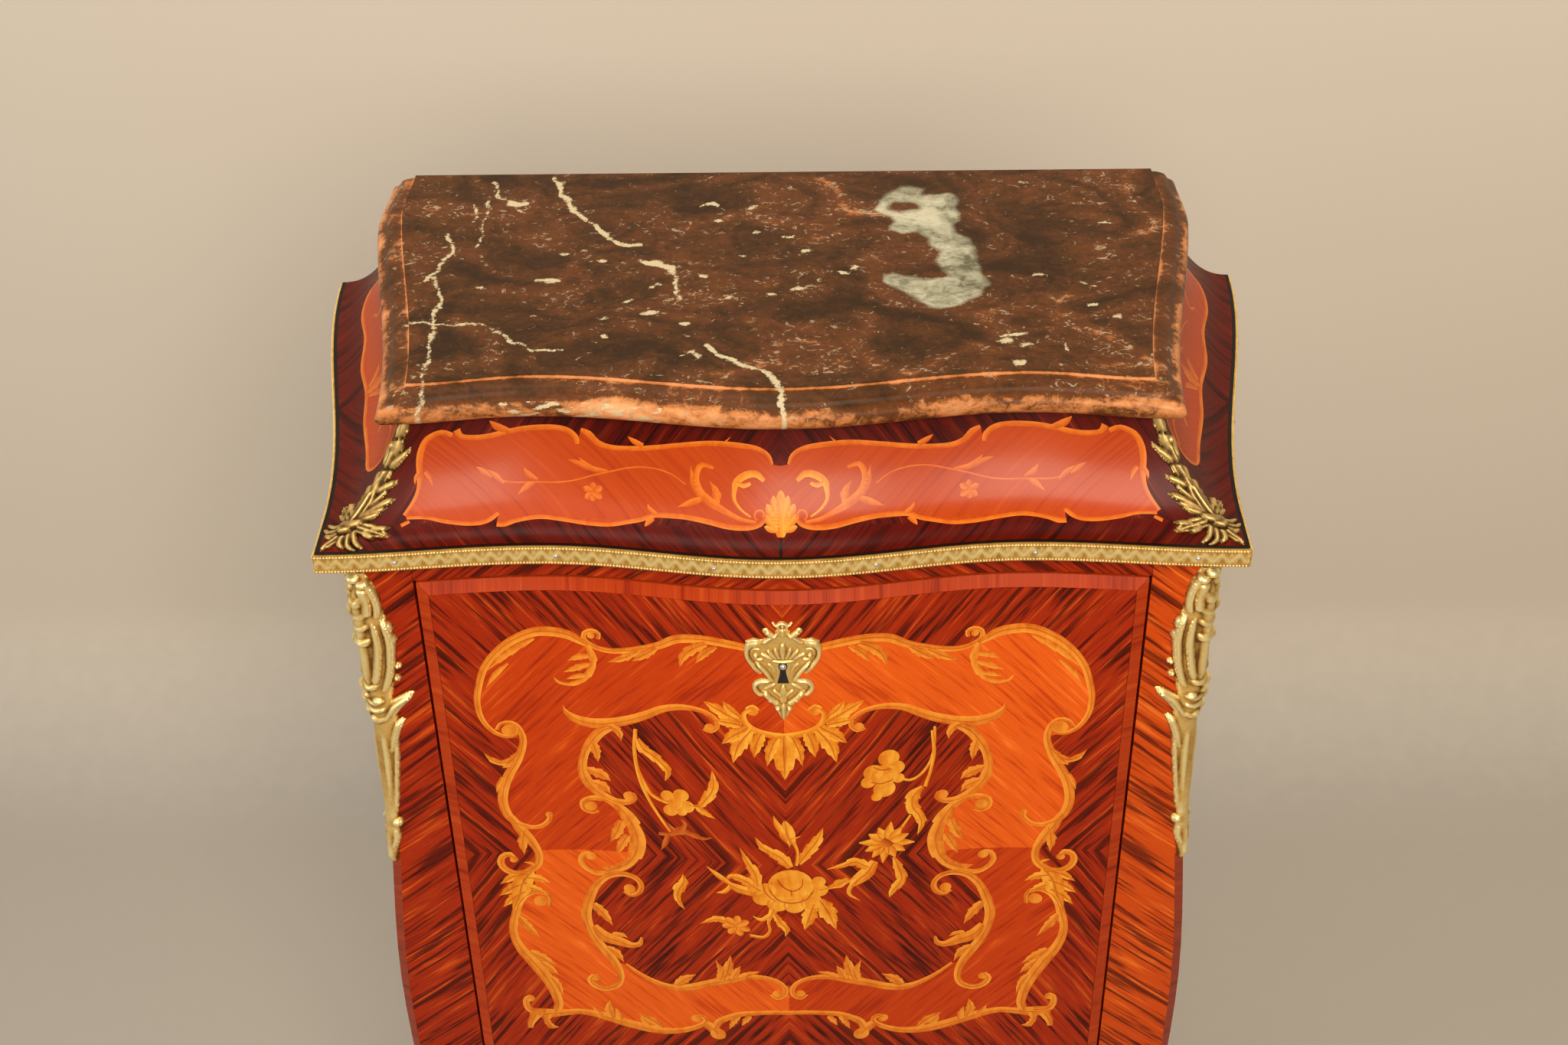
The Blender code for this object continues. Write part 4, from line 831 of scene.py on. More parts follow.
FRIEZE_LEAVES = (
    ((22, 36, 1.5), (29, 41, 1.8), (34, 48, 2.6), (34, 55, 3.7), (32, 62, 5.1), (25, 67, 5.5),
     (18, 68, 5.1), (12, 63, 3)),
    ((32, 61, 2.6), (27, 59, 3.7), (22, 61, 2.4)), ((0, 21, 5), (0, 25, 8), (0, 30, 5)),
    ((2, 26, 3), (7, 27, 5), (10, 28.5, 4), (12, 29, 1)),
    ((3, 27, 3), (8, 32, 5), (11, 36, 5), (13, 38, 1)),
    ((3, 28, 3), (7, 37, 5), (9, 43, 5), (10, 46, 1)),
    ((2, 28, 3), (4, 40, 5), (5, 48, 5), (5.5, 52, 1)),
    ((0, 24, 4), (0, 40, 6), (0, 52, 6), (0, 56, 1)))
SPRIGS = (
    ((70, 57, 1.2), (81, 64, 1.2), (95, 67, 1.2), (110, 66, 1.2), (125, 62, 1.2), (139, 58, 1.2),
     (152, 54, 1.2), (165, 52, 1.2), (179, 52, 1.2), (192, 52, 1.2), (203, 53, 1.2), (209, 56, 1.2),
     (214, 61, 0.8)),
    ((128, 62, 1.8), (139, 63, 4.2), (150, 67, 3.8), (157, 69, 0)),
    ((137, 63, 1.8), (144, 66, 3.6), (149, 71, 0)), ((205, 52, 1.5), (211, 58, 4), (217, 63, 0)),
    ((214, 57, 1.2), (220, 62, 4), (225, 66, 0)), ((180, 54, 1.5), (187, 58, 4.6), (190, 63, 0)),
    ((182, 52, 1.5), (188, 49, 4.6), (195, 43, 0)), ((139, 46, 3), (139, 51, 5), (139, 53, 1)),
    ((139, 46, 3), (144, 48, 5), (146, 49, 1)), ((139, 46, 3), (143, 42, 5), (145, 41, 1)),
    ((139, 46, 3), (139, 41, 5), (139, 39, 1)), ((139, 46, 3), (134, 43, 5), (132, 42, 1)),
    ((139, 46, 3), (134, 49, 5), (132, 50, 1)))
SIDE_CARTOUCHE = (
    (-104, 62), (-100, 78), (-88, 87), (-66, 89), (-40, 85), (-10, 80), (20, 85), (50, 91), (90, 91),
    (120, 87), (140, 89), (156, 80), (160, 65), (166, 46), (160, 32), (130, 27), (90, 31), (50, 26),
    (10, 29), (-30, 26), (-70, 29), (-98, 32), (-106, 46))
SIDE_SCROLLS = (
    ((-100, 55, 3), (-84, 65, 4), (-66, 60, 4), (-52, 50, 3), (-60, 43, 3)),
    ((150, 55, 3), (134, 65, 4), (116, 60, 4), (104, 50, 3), (112, 43, 3)),
    ((10, 29, 5), (10, 43, 14), (10, 58, 0)), ((4, 32, 4), (-4, 43, 6), (-12, 48, 0)),
    ((16, 32, 4), (24, 43, 6), (32, 48, 0)),
    ((-30, 55, 1.5), (-8, 65, 1.5), (20, 67, 1.5), (60, 60, 1.5), (80, 53, 1)),
    ((-8, 65, 2), (0, 71, 5), (10, 74, 0)), ((40, 65, 2), (50, 71, 5), (60, 72, 0)),
    ((20, 67, 2), (26, 60, 5), (36, 56, 0)))
frieze_wood = shaded_inlay("frieze_scroll_wood", (184, 76, 10), (206, 98, 20), (222, 118, 34), 0.15)
leaf_wood = shaded_inlay("frieze_leaf_wood", (196, 92, 14), (226, 130, 32), (240, 154, 54), 0.15)
sprig_wood = shaded_inlay("frieze_sprig_wood", (184, 76, 16), (204, 96, 24), (216, 112, 36), 0.15)
frieze_ground = sliced_veneer("frieze_ground", (166, 54, 8), (180, 64, 12), (192, 76, 18),
                              7, 300, 0.0, 0.15)


def frieze_inlay(word, surface, outline, groups, mirrors, slice_width, outward):
    """Ground, scrolls and sprigs of one length of the frieze."""
    lay = raised(surface, outward)
    ground = bmesh.new()
    sawn_ground(ground, outline, mirrors, lambda along, length: (along, length, 0))
    for line in range(-40, 41):
        cut_seam(ground, (line * slice_width, 0, 0), (1, 0, 0))
    for line in range(11, 50):
        cut_seam(ground, (0, line * 0.002, 0), (0, 1, 0))
    for vert in ground.verts:
        vert.co = lay(vert.co.x, vert.co.y, 0.00008)
    lay_veneer(ground, -40, (0, 0, 0))
    let_in(f"frieze_ground_{word}", ground, [frieze_ground], "carcass", outward)
    for kind, finish, strips in groups:
        lifts = stacked(0.00014, 0.000002)
        sawn = bmesh.new()
        for mirror in mirrors:
            for points in strips:
                saw_strip(sawn, lay, points, next(lifts), mirror)
        let_in(f"frieze_{kind}_{word}", sawn, [finish], "carcass", outward)


frieze_inlay("front", up_frieze, CARTOUCHE,
             (("scrolls", frieze_wood, FRAME_PIECES + FRIEZE_SCROLLS), ("sprigs", sprig_wood, SPRIGS),
              ("leaves", leaf_wood, FRIEZE_LEAVES)), (1, -1), 0.008, front_out)
shrunk = bmesh.new()
saw_strip(shrunk, raised(up_frieze, front_out), ((0, 3, 1.6), (0, 10, 2.2), (0, 20, 1.4)), 0.00012)
let_in("frieze_open_seam", shrunk, [black_seam_and_foot_shadow], "carcass", front_out)
for hand, word in ((1, "right"), (-1, "left")):
    def on_this_side(y, length, hand=hand):
        here = on_side_frieze(y, up_sweep(length))
        here.x *= hand
        return here
    edge = tuple((y, length, 3.6) for y, length in SIDE_CARTOUCHE + SIDE_CARTOUCHE[:1])
    frieze_inlay(word, on_this_side, SIDE_CARTOUCHE, (("scrolls", frieze_wood, (edge,) + SIDE_SCROLLS),),
                 (1,), 0.01, Vector((0.6 * hand, 0, 0.8)))

# The top is one slab of brown-red marble with pale veins and a grey-green cloud: flat, with a thin
# fillet, a hollow and a round nosing worked along the front and sides, chipped here and there.
SLAB_INSET = 0.048
FILLET_IN = 0.070
FILLET_TALL = 0.0025
HOLLOW_IN = 0.0135
HOLLOW_TALL = 0.0055
NOSE_DROP = 0.0094
BACK_TURN, BACK_TURN_RUN = 0.006, 0.070
VEIN_REACH = 30.0
VEINS = (
    ((-190, 192, 4), (-185, 169, 5), (-175, 146, 6), (-165, 129, 6), (-152, 112, 5), (-142, 94, 6),
     (-129, 81, 6), (-113, 77, 4)),
    ((-112, 55, 5), (-96, 48, 7), (-85, 42, 6), (-83, 31, 4), (-83, 17, 3), (-79, 8, 4), (-79, -8, 2)),
    ((-54, -73, 7), (-46, -85, 6), (-31, -98, 6), (-15, -104, 4), (-6, -117, 5), (0, -129, 4),
     (4, -150, 4), (8, -166, 3)),
    ((-269, 96, 3), (-262, 77, 3), (-265, 58, 3), (-277, 27, 2)),
    ((-271, 31, 2), (-262, 0, 3), (-263, -38, 3), (-260, -69, 2.5), (-260, -123, 2), (-262, -160, 2)),
    ((-285, -35, 1), (-262, -40, 2), (-227, -40, 2), (-212, -52, 2), (-200, -65, 1.5), (-185, -75, 1.5),
     (-163, -79, 1)),
    ((-242, 185, 2), (-233, 158, 2.5), (-210, 133, 1)), ((-254, 150, 1.5), (-250, 117, 1)),
    ((-242, 160, 1), (-242, 75, 0.5)), ((-100, 12, 3), (-96, 18, 3), (-90, 14, 2)),
    ((-73, -85, 2), (-66, -80, 2), (-60, -86, 2)), ((212, -70, 2), (212, -84, 2)),
    ((230, 14, 2), (242, 10, 2)), ((256, 110, 2), (268, 106, 1)),
    ((-66, 142, 3), (-58, 146, 3), (-54, 140, 2)), ((-191, 23, 5), (-172, 24, 5)),
    ((-225, 148, 9), (-212, 149, 8)), ((165, -62, 5), (185, -60, 3)))
FLECKS = (
    (-144, 55, 4), (-233, 13, 3), (-98, -25, 6), (-133, -33, 3), (-133, -58, 3), (-50, 117, 4),
    (-25, 138, 4), (19, 67, 5), (6, 90, 4), (35, 88, 3), (48, 33, 4), (58, 40, 3), (13, 8, 4),
    (-38, -4, 4), (-8, -1, 4), (-73, -40, 4), (175, -100, 6), (200, 27, 4), (237, -18, 4),
    (254, -34, 4), (168, -70, 5), (182, -74, 4), (-172, 66, 3), (-158, 70, 2), (-30, 60, 2),
    (-20, 96, 3), (30, 20, 2), (-60, 30, 3), (-118, -8, 2))
CLOUD = (
    (75, 137), (85, 158), (100, 171), (115, 167), (115, 158), (138, 158), (144, 150), (142, 137),
    (144, 121), (138, 108), (140, 94), (148, 85), (154, 54), (154, 31), (160, 12), (152, -2),
    (138, -19), (121, -22), (108, -17), (100, -4), (88, 8), (81, 19), (79, 29), (88, 31), (104, 21),
    (123, 23), (129, 27), (129, 38), (121, 50), (125, 62), (121, 73), (117, 88), (108, 98), (98, 92),
    (88, 98), (90, 112), (88, 121), (75, 131))


def slab_point(across, along, inset, z):
    """A point of the slab's outline, shrunk by an inset: across -1 to 1, along 0 at the front."""
    front = front_line(across * (BAND_HALF - inset), inset)
    y = front + along * (BACK_Y - front)
    turn_in = BACK_TURN * wave((y - BACK_Y + BACK_TURN_RUN) / BACK_TURN_RUN)
    return Vector((across * (BAND_HALF + side_out(y) - inset - turn_in), y, z))


slab = bmesh.new()
bmesh.ops.create_grid(slab, x_segments=300, y_segments=150, size=1)
spots = {}
for vert in slab.verts:
    spots[vert] = (vert.co.x, (vert.co.y + 1) / 2)
    vert.co = slab_point(*spots[vert], FILLET_IN, marble_high.z)
nose = (marble_high.z - NOSE_DROP - marble_low.z) / 2
profile = [(FILLET_IN, 0.0012), (FILLET_IN, FILLET_TALL)]
profile += [(FILLET_IN - HOLLOW_IN * math.sin(turn), FILLET_TALL + HOLLOW_TALL * (1 - math.cos(turn)))
            for turn in np.linspace(0.12, 1.5, 8)]
profile += [(SLAB_INSET + nose * (1 - math.cos(turn)), NOSE_DROP + nose * (1 - math.sin(turn)))
            for turn in np.linspace(1.35, -1.57, 14)]
rim = [edge for edge in slab.edges if edge.is_boundary]
for inset, drop in profile:
    grown = bmesh.ops.extrude_edge_only(slab, edges=rim)["geom"]
    rim = [part for part in grown if isinstance(part, bmesh.types.BMEdge) and part.is_boundary]
    for vert in {vert for edge in rim for vert in edge.verts}:
        below = min((other for edge in vert.link_edges for other in edge.verts if other in spots),
                    key=lambda other: (other.co - vert.co).length)
        spots[vert] = spots[below]
        vert.co = slab_point(*spots[vert], inset, marble_high.z - drop)
bmesh.ops.holes_fill(slab, edges=rim)
bmesh.ops.recalc_face_normals(slab, faces=slab.faces)


def polished_marble():
    """Satin marble: brown and black clouds, and the slab's own veins, flecks and pale cloud."""
    finish, nodes, links, shader = new_finish("brown_marble", 0.34)
    shader.inputs["Specular IOR Level"].default_value = 0.07
    place = nodes.new("ShaderNodeTexCoord").outputs["Object"]
    field = {}
    for name in ("vein_gap", "cloud_gap", "moulding_light_and_shade"):
        field[name] = nodes.new("ShaderNodeAttribute")
        field[name].attribute_name = name
    broad = figure(nodes, links, place, (13, 17, 26), 5, 0.58, 1.2)
    mottle = figure(nodes, links, place, (95, 120, 120), 6, 0.68, 1.0)
    grit = figure(nodes, links, place, (420, 420, 420), 4, 0.65)
    # The moulding's values lighten the fillet and the nosing as painted highlight and leave the hollow
    # darker as painted shade.
    tone = sum_up(nodes, links, (broad, 0.66), (mottle, 0.34), (grit, 0.10),
                  (field["moulding_light_and_shade"].outputs["Fac"], 0.26))
    colour = shades(nodes, links, tone, (0.44, daylight(50, 31, 15)), (0.53, daylight(72, 43, 20)),
                    (0.58, daylight(86, 49, 23)), (0.66, daylight(100, 57, 28)),
                    (0.74, daylight(188, 118, 66)), (0.88, daylight(230, 160, 106)))
    crumble = sum_up(nodes, links, (mottle, 9.0), (grit, 5.0))
    vein_gap = sum_up(nodes, links, (field["vein_gap"].outputs["Fac"], 1.0), (crumble, 1.0))
    cloud_gap = sum_up(nodes, links, (field["cloud_gap"].outputs["Fac"], 1.0), (crumble, 1.0), (broad, 9.0))
    spots_figure = figure(nodes, links, place, (95, 125, 125), 5, 0.74, 1.6)
    specks = sum_up(nodes, links, (spots_figure, 0.74), (broad, 0.26))
    speck_share = shades(nodes, links, specks, (0.585, (0, 0, 0)), (0.61, (0.8, 0.8, 0.8)))
    cloud_figure = sum_up(nodes, links, (broad, 0.6), (mottle, 0.4))
    cloud_tone = shades(nodes, links, cloud_figure, (0.40, daylight(96, 92, 70)),
                        (0.50, daylight(156, 152, 126)), (0.60, daylight(190, 184, 158)))
    vein_tone = daylight(196, 180, 142)
    for gap, outer, inner, over in ((cloud_gap, 14.0, 9.5, cloud_tone), (vein_gap, 7.9, 6.7, vein_tone)):
        share = nodes.new("ShaderNodeMapRange")
        share.inputs["From Min"].default_value = outer
        share.inputs["From Max"].default_value = inner
        links.new(gap, share.inputs["Value"])
        colour = laid_over(nodes, links, share.outputs["Result"], colour, over)
    colour = laid_over(nodes, links, speck_share, colour, daylight(170, 150, 120))
    links.new(colour, shader.inputs["Base Color"])
    press(nodes, links, shader, grit, 0.00005)
    return finish


marble = polished_marble()
marble_piece = put_up("marble_slab", slab, [marble], "carcass", ["marble_top"], 30)
flat = np.zeros(len(marble_piece.data.vertices) * 3)
marble_piece.data.vertices.foreach_get("co", flat)
flat = flat.reshape(-1, 3) * 1000
across, along, drop = flat[:, 0], flat[:, 1], marble_high.z * 1000 - flat[:, 2]
sawn_back = along > BACK_Y * 1000 - 0.5
flat[:, :2] += np.column_stack((
    1.4 * np.sin(along / 6.1 + 2 * np.sin(across / 8.3)) + 0.6 * np.sin(along / 2.3),
    1.4 * np.sin(across / 5.7 + 2 * np.sin(along / 7.1)) + 0.6 * np.sin(across / 2.5)))


def from_line(start, end):
    """How far the slab's points lie from a straight line, and how far along it, as a share."""
    run = end[:2] - start[:2]
    share = np.clip(((flat[:, :2] - start[:2]) @ run) / (run @ run), 0, 1)
    return np.hypot(across - start[0] - share * run[0], along - start[1] - share * run[1]), share


vein_gap = np.full(len(flat), VEIN_REACH)
for points in VEINS:
    points = np.array(points, float)
    for start, end in zip(points, points[1:]):
        away, share = from_line(start, end)
        vein_gap = np.minimum(vein_gap, away - (start[2] + share * (end[2] - start[2])) * 0.35)
for x, y, radius in FLECKS:
    vein_gap = np.minimum(vein_gap, np.hypot((across - x) / 1.6, along - y) - radius * 0.5)
ring = np.array(CLOUD, float)
inside = np.zeros(len(flat), bool)
cloud_gap = np.full(len(flat), VEIN_REACH)
for start, end in zip(ring, np.roll(ring, -1, axis=0)):
    run = end - start
    crosses = (start[1] > along) != (end[1] > along)
    inside ^= crosses & (across < run[0] * (along - start[1]) / (run[1] + 1e-9) + start[0])
    cloud_gap = np.minimum(cloud_gap, from_line(start, end)[0])
hole = np.hypot((across - 100) / 1.3, along - 138) - 9
cloud_gap = np.maximum(np.where(inside, -cloud_gap, cloud_gap), -hole)
chips = 1.6 - 3.6 * np.sin(across / 4.3 + 1.3 * np.sin(0.9 * drop)) * np.sin(across / 11 + 0.55 * drop)
chipped = (drop > 11) & (across > -206) & (across < -84) & (along < 0)
vein_gap = np.where(chipped, np.minimum(vein_gap, chips), vein_gap)
# Tone of the moulded edge: the fillet and the nosing lighter as painted highlight, the hollow between them
# darker as painted shade.
moulding_light_and_shade = np.clip(drop, 0, 1) - 0.8 * np.clip((drop - 2.5) / 0.05, 0, 1)
moulding_light_and_shade += 0.5 * np.clip((drop - 8.5) / 3.0, 0, 1)
moulding_light_and_shade = np.where(sawn_back, 0.1, moulding_light_and_shade)
for name, values in (("vein_gap", vein_gap), ("cloud_gap", cloud_gap), ("moulding_light_and_shade", moulding_light_and_shade)):
    worn_map = marble_piece.data.attributes.new(name, "FLOAT", "POINT")
    worn_map.data.foreach_set("value", values.astype(np.float32))

# Gilt-bronze band under the frieze: a cast strip with a row of beads along each edge and a run of
# leaves between them, pinned on with small steel nails.


def gilding(name, low, middle, high, roughness, chased):
    """Worn gilding on cast bronze: brown in the hollows, partly grime and partly painted shade, and bright
    on the high places.
    """
    low, middle, high = (daylight(*shade) for shade in (low, middle, high))
    finish, nodes, links, shader = new_finish(name, roughness)
    place = nodes.new("ShaderNodeTexCoord").outputs["Object"]
    grime = figure(nodes, links, place, (140, 140, 140), 4, 0.6)
    fine = figure(nodes, links, place, (1100, 1100, 1100), 3, 0.6)
    if chased:
        relief = nodes.new("ShaderNodeAttribute")
        relief.attribute_name = "relief"
        tone = sum_up(nodes, links, (relief.outputs["Fac"], 0.75), (grime, 0.35), (fine, 0.1))
    else:
        tone = sum_up(nodes, links, (grime, 1.1), (fine, 0.2))
    colour = shades(nodes, links, tone, (0.28, low), (0.58, middle), (0.92, high))
    links.new(colour, shader.inputs["Base Color"])
    worn = nodes.new("ShaderNodeMapRange")
    for socket, value in (("From Min", 0.3), ("From Max", 0.9), ("To Min", roughness + 0.2),
                          ("To Max", roughness)):
        worn.inputs[socket].default_value = value
    links.new(tone, worn.inputs["Value"])
    links.new(worn.outputs["Result"], shader.inputs["Roughness"])
    shader.inputs["Metallic"].default_value = 0.7
    press(nodes, links, shader, fine, 0.00012)
    return finish


gilt = gilding("gilt_bronze", (120, 78, 28), (226, 180, 94), (255, 234, 166), 0.40, True)
gilt_aged = gilding("gilt_bronze_aged", (40, 24, 6), (112, 80, 34), (206, 172, 104), 0.42, True)
gilt_plain = gilding("gilt_brass_plain", (146, 106, 44), (206, 162, 82), (236, 200, 122), 0.34, False)
nail_steel = gilding("nail_steel", (120, 116, 108), (188, 186, 180), (224, 222, 216), 0.25, False)
lock_steel = gilding("lock_steel", (84, 82, 79), (98, 96, 92), (112, 110, 106), 0.36, False)


def spaced(run, gap, side):
    """Places on a line at an even spacing, each with its way out from the desk."""
    found, walked = [], gap / 2
    for here, there in zip(run, run[1:]):
        walked += (there - here).length
        if walked >= gap:
            walked -= gap
            ahead = (there - here).normalized()
            found.append((here, Vector((ahead.y, -ahead.x, 0)) * side))
    return found


band_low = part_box("band_front")[0].z
band_tall = band_top - band_low
band_mid = (band_low + band_top) / 2
BEAD = 0.00105
BEAD_GAP = 0.0023
BEAD_IN = 0.0016
LEAF_RUN = 0.0125
LEAF_RISE = 0.0009
CAST_STEP = 0.0009
NAIL_GAP = 0.118
NAIL = 0.0019
for hand, word in ((0, "front"), (1, "right"), (-1, "left")):
    side = hand or 1
    if hand == 0:
        run = [Vector((x, front_line(x, -0.001), 0))
               for x in np.linspace(-BAND_HALF - 0.0006, BAND_HALF + 0.0006, 1400)]
    else:
        run = [Vector((hand * (BAND_HALF + side_out(y) + 0.001), y, 0))
               for y in np.linspace(CORNER_Y - 0.0008, BACK_Y - 0.001, 800)]
    put_up(f"band_{word}_strip", welded(f"band_{word}"), [gilt_plain], "carcass",
           [f"band_{word}"])
    cast = bmesh.new()
    relief = cast.verts.layers.float.new("relief")
    places = spaced(run, CAST_STEP, side)
    last = len(places) - 1
    for vert in bmesh.ops.create_grid(cast, x_segments=last, y_segments=14, size=1)["verts"]:
        step, height = round((vert.co.x + 1) / 2 * last), vert.co.y
        here, outward = places[step]
        turn = 2 * math.pi * step * CAST_STEP / LEAF_RUN
        leaf = max(0.0, 1 - 2.2 * abs(height - 0.34 * math.sin(turn)))
        lobe = max(0.0, 1 - 2.6 * abs(height + 0.38 * math.sin(turn * 2 + 0.8))) * 0.7
        rise = LEAF_RISE * max(leaf, lobe) if abs(height) < 0.72 else 0.0002
        if abs(height) > 0.97:
            rise = -0.0006
        # The relief value is low on the strip's sunk ground and edges and high on the leaves: painted shade
        # in the low places, with some grime.
        vert[relief] = 0.35 + 0.6 * rise / LEAF_RISE
        vert.co = here + outward * (rise + 0.0003) + Vector((0, 0, band_mid + height * band_tall * 0.47))
    if hand == -1:
        bmesh.ops.reverse_faces(cast, faces=cast.faces)
    cast.normal_update()
    bmesh.ops.solidify(cast, geom=cast.faces[:], thickness=0.0008)
    for height in (band_top - BEAD_IN, band_low + BEAD_IN):
        for here, outward in spaced(run, BEAD_GAP, side):
            middle = Vector((here.x, here.y, height)) + outward * 0.0004
            bead = bmesh.ops.create_icosphere(cast, subdivisions=1, radius=BEAD,
                                              matrix=Matrix.Translation(middle))
            # Each bead is lighter on its outer face and darker at its back: painted highlight and painted
            # shade.
            for vert in bead["verts"]:
                vert[relief] = min(1.0, max(0.0, 0.5 + (vert.co - middle).dot(outward) / BEAD * 0.6))
    cast.normal_update()
    put_up(f"band_{word}_casting", cast, [gilt], "carcass", (), 80)
    nails = bmesh.new()
    for here, outward in spaced(run, NAIL_GAP, side):
        spot = Vector((here.x, here.y, band_mid)) + outward * 0.0008
        bmesh.ops.create_icosphere(nails, subdivisions=2, radius=NAIL, matrix=Matrix.Translation(spot))
    put_up(f"band_{word}_nails", nails, [nail_steel], "carcass", (), 80)

# Cast and chased gilt mounts: leaf sprays up the frieze's corners, long scrolled chutes down the
# body's corners, shaped key plates. Each is cast in one piece, chased, gilt and pinned to the wood.
SUNK = -0.0008
TRIMMED = -0.0007
CAST_THICK = 0.0009


def chased_height(s, t, strokes, bosses):
    """Height of a casting over the wood: leaves, ribs and bosses, each rounded across."""
    height = np.full(s.shape, -0.004)
    for points, top, flutes in strokes:
        run, slope = drawn_line(points, 0.001)
        reach = run[:, 2].max() / 2 + 0.003
        near = np.flatnonzero((s > run[:, 0].min() - reach) & (s < run[:, 0].max() + reach)
                              & (t > run[:, 1].min() - reach) & (t < run[:, 1].max() + reach))
        away = np.hypot(s[near, None] - run[:, 0], t[near, None] - run[:, 1])
        spot = away.argmin(axis=1)
        away = away[np.arange(len(near)), spot]
        half = run[spot, 2] / 2
        side = ((t[near] - run[spot, 1]) * slope[spot, 0]
                - (s[near] - run[spot, 0]) * slope[spot, 1]) / half
        along = spot / (len(run) - 1)
        ends = np.sqrt(np.clip(np.minimum(along, 1 - along) * 6 + 0.2, 0, 1))
        rise = np.minimum(top / 1000, half * 2.6) * ends * np.sqrt(np.clip(1 - (away / half) ** 2, 0, 1))
        if flutes:
            rise *= 0.8 + 0.2 * np.cos(flutes * math.pi * side)
        height[near] = np.maximum(height[near], np.where(away < half, rise, half - away))
    for x, y, radius, top in bosses:
        away = np.hypot(s - x / 1000, t - y / 1000) / (radius / 1000)
        dome = top / 1000 * np.sqrt(np.clip(1 - away ** 2, 0, 1))
        height = np.maximum(height, np.where(away < 1, dome, (1 - away) * radius / 1000))
    return height + 0.00006 * np.sin(s * 1500) * np.sin(t * 1340)


def both_hands(shapes):
    """Shapes drawn on one side of a casting, and the same turned over for the other side."""
    return [(tuple((-s, *rest) for s, *rest in points), *more) for points, *more in shapes] + list(shapes)


def both_bosses(bosses):
    """The same for the round bosses of a casting."""
    return [(-s, *rest) for s, *rest in bosses] + list(bosses)


def cast_mount(name, lay, span, step, strokes, bosses, body, nodes, outward, metal=gilt):
    """One chased casting: a fine sheet raised to the height of its ornament, trimmed at the wood."""
    low_s, high_s, low_t, high_t = (value / 1000 for value in span)
    columns, rows = round((high_s - low_s) / step), round((high_t - low_t) / step)
    bm = bmesh.new()
    bmesh.ops.create_grid(bm, x_segments=columns, y_segments=rows, size=1)
    spots = np.array([vert.co[:2] for vert in bm.verts])
    s = low_s + (spots[:, 0] + 1) / 2 * (high_s - low_s)
    t = low_t + (spots[:, 1] + 1) / 2 * (high_t - low_t)
    height = chased_height(s, t, strokes, bosses)
    column = np.rint((spots[:, 0] + 1) / 2 * columns).astype(int)
    row = np.rint((spots[:, 1] + 1) / 2 * rows).astype(int)
    heights = np.zeros((rows + 1, columns + 1))
    heights[row, column] = np.maximum(height, SUNK)
    around = sum(np.roll(heights, (up, over), (0, 1)) for up in range(-3, 4) for over in range(-3, 4)) / 49
    # Places lower than their surroundings get a darker relief value: painted shade in the hollows, with
    # some grime.
    proud = np.clip(0.55 + (heights - around)[row, column] / 0.0022, 0, 1)
    relief = bm.verts.layers.float.new("relief")
    sunk = set()
    for vert, across, along, rise, bright in zip(bm.verts, s, t, height, proud):
        if rise < TRIMMED:
            sunk.add(vert)
        vert[relief] = bright
        vert.co = lay(across, along, max(rise, SUNK))
    waste = [face for face in bm.faces if sunk.issuperset(face.verts)]
    bmesh.ops.delete(bm, geom=waste, context="FACES")
    bm.normal_update()
    for face in bm.faces:
        if face.normal.dot(outward) < 0:
            face.normal_flip()
    piece = put_up(name, bm, [metal], body, nodes, 100)
    thick = piece.modifiers.new("cast_thickness", "SOLIDIFY")
    thick.thickness = CAST_THICK
    thick.offset = -1


SPRAY_MIDDLE = (
    (((-2, 66, 3), (-2.5, 62.5, 8), (-2, 59.5, 4)), 4.5, 0),
    (((-2, 60, 3), (-3, 57, 9), (-2, 54, 4)), 4.5, 0), (((-1, 50, 4), (-2, 53, 9), (-2, 56, 8)), 5, 2),
    (((-1, 45, 4), (-2, 48, 9), (-2, 50, 8)), 5, 2), (((-1, 39, 5), (-1, 44, 5), (-1, 47, 4)), 4, 0),
    (((0, 24, 7), (0, 31, 9), (0, 38, 9), (0, 43, 5)), 5.5, 3),
    (((8, 19, 4), (3, 22, 8), (-3, 25, 8), (-8, 26, 4)), 6, 0),
    (((7, 17, 3), (2, 20, 6), (-5, 22, 4)), 6.5, 0),
    (((0, 18, 8), (0, 13, 9), (0, 8, 7), (0, 5, 2)), 4, 3))
SPRAY_LEAVES = (
    (((-3, 51, 4), (-7, 53, 5), (-12, 56, 2)), 4, 0),
    (((-2, 41, 3), (-6, 43, 5), (-12, 45, 2.5)), 3.5, 0),
    (((-2, 29, 5), (-8, 34, 6), (-13, 36.5, 5), (-18, 37.5, 2)), 4, 0),
    (((-2, 28, 5), (-8, 32, 6), (-16, 34, 2)), 4, 0),
    (((-2, 27, 5), (-8, 29.5, 6), (-14, 31.5, 2)), 4, 0),
    (((-2, 34, 4), (-6, 38, 5), (-9, 42, 2)), 3.5, 0),
    (((-4, 24, 6), (-14, 22, 8), (-26, 19, 7), (-36, 16, 2)), 4.5, 3),
    (((-12, 22, 5), (-20, 18, 5), (-26, 15, 2)), 4, 0),
    (((-16, 22, 5), (-24, 22, 5), (-30, 22, 2)), 4, 0),
    (((-5, 22, 4), (-14, 14, 3), (-22, 9, 2.8), (-28, 6, 1.5)), 4, 0),
    (((-4, 20, 4), (-12, 11, 3), (-20, 6, 2.6), (-25, 4, 1.5)), 4, 0),
    (((-2, 18, 5), (-7, 11, 4), (-14, 6.5, 2)), 4, 0))


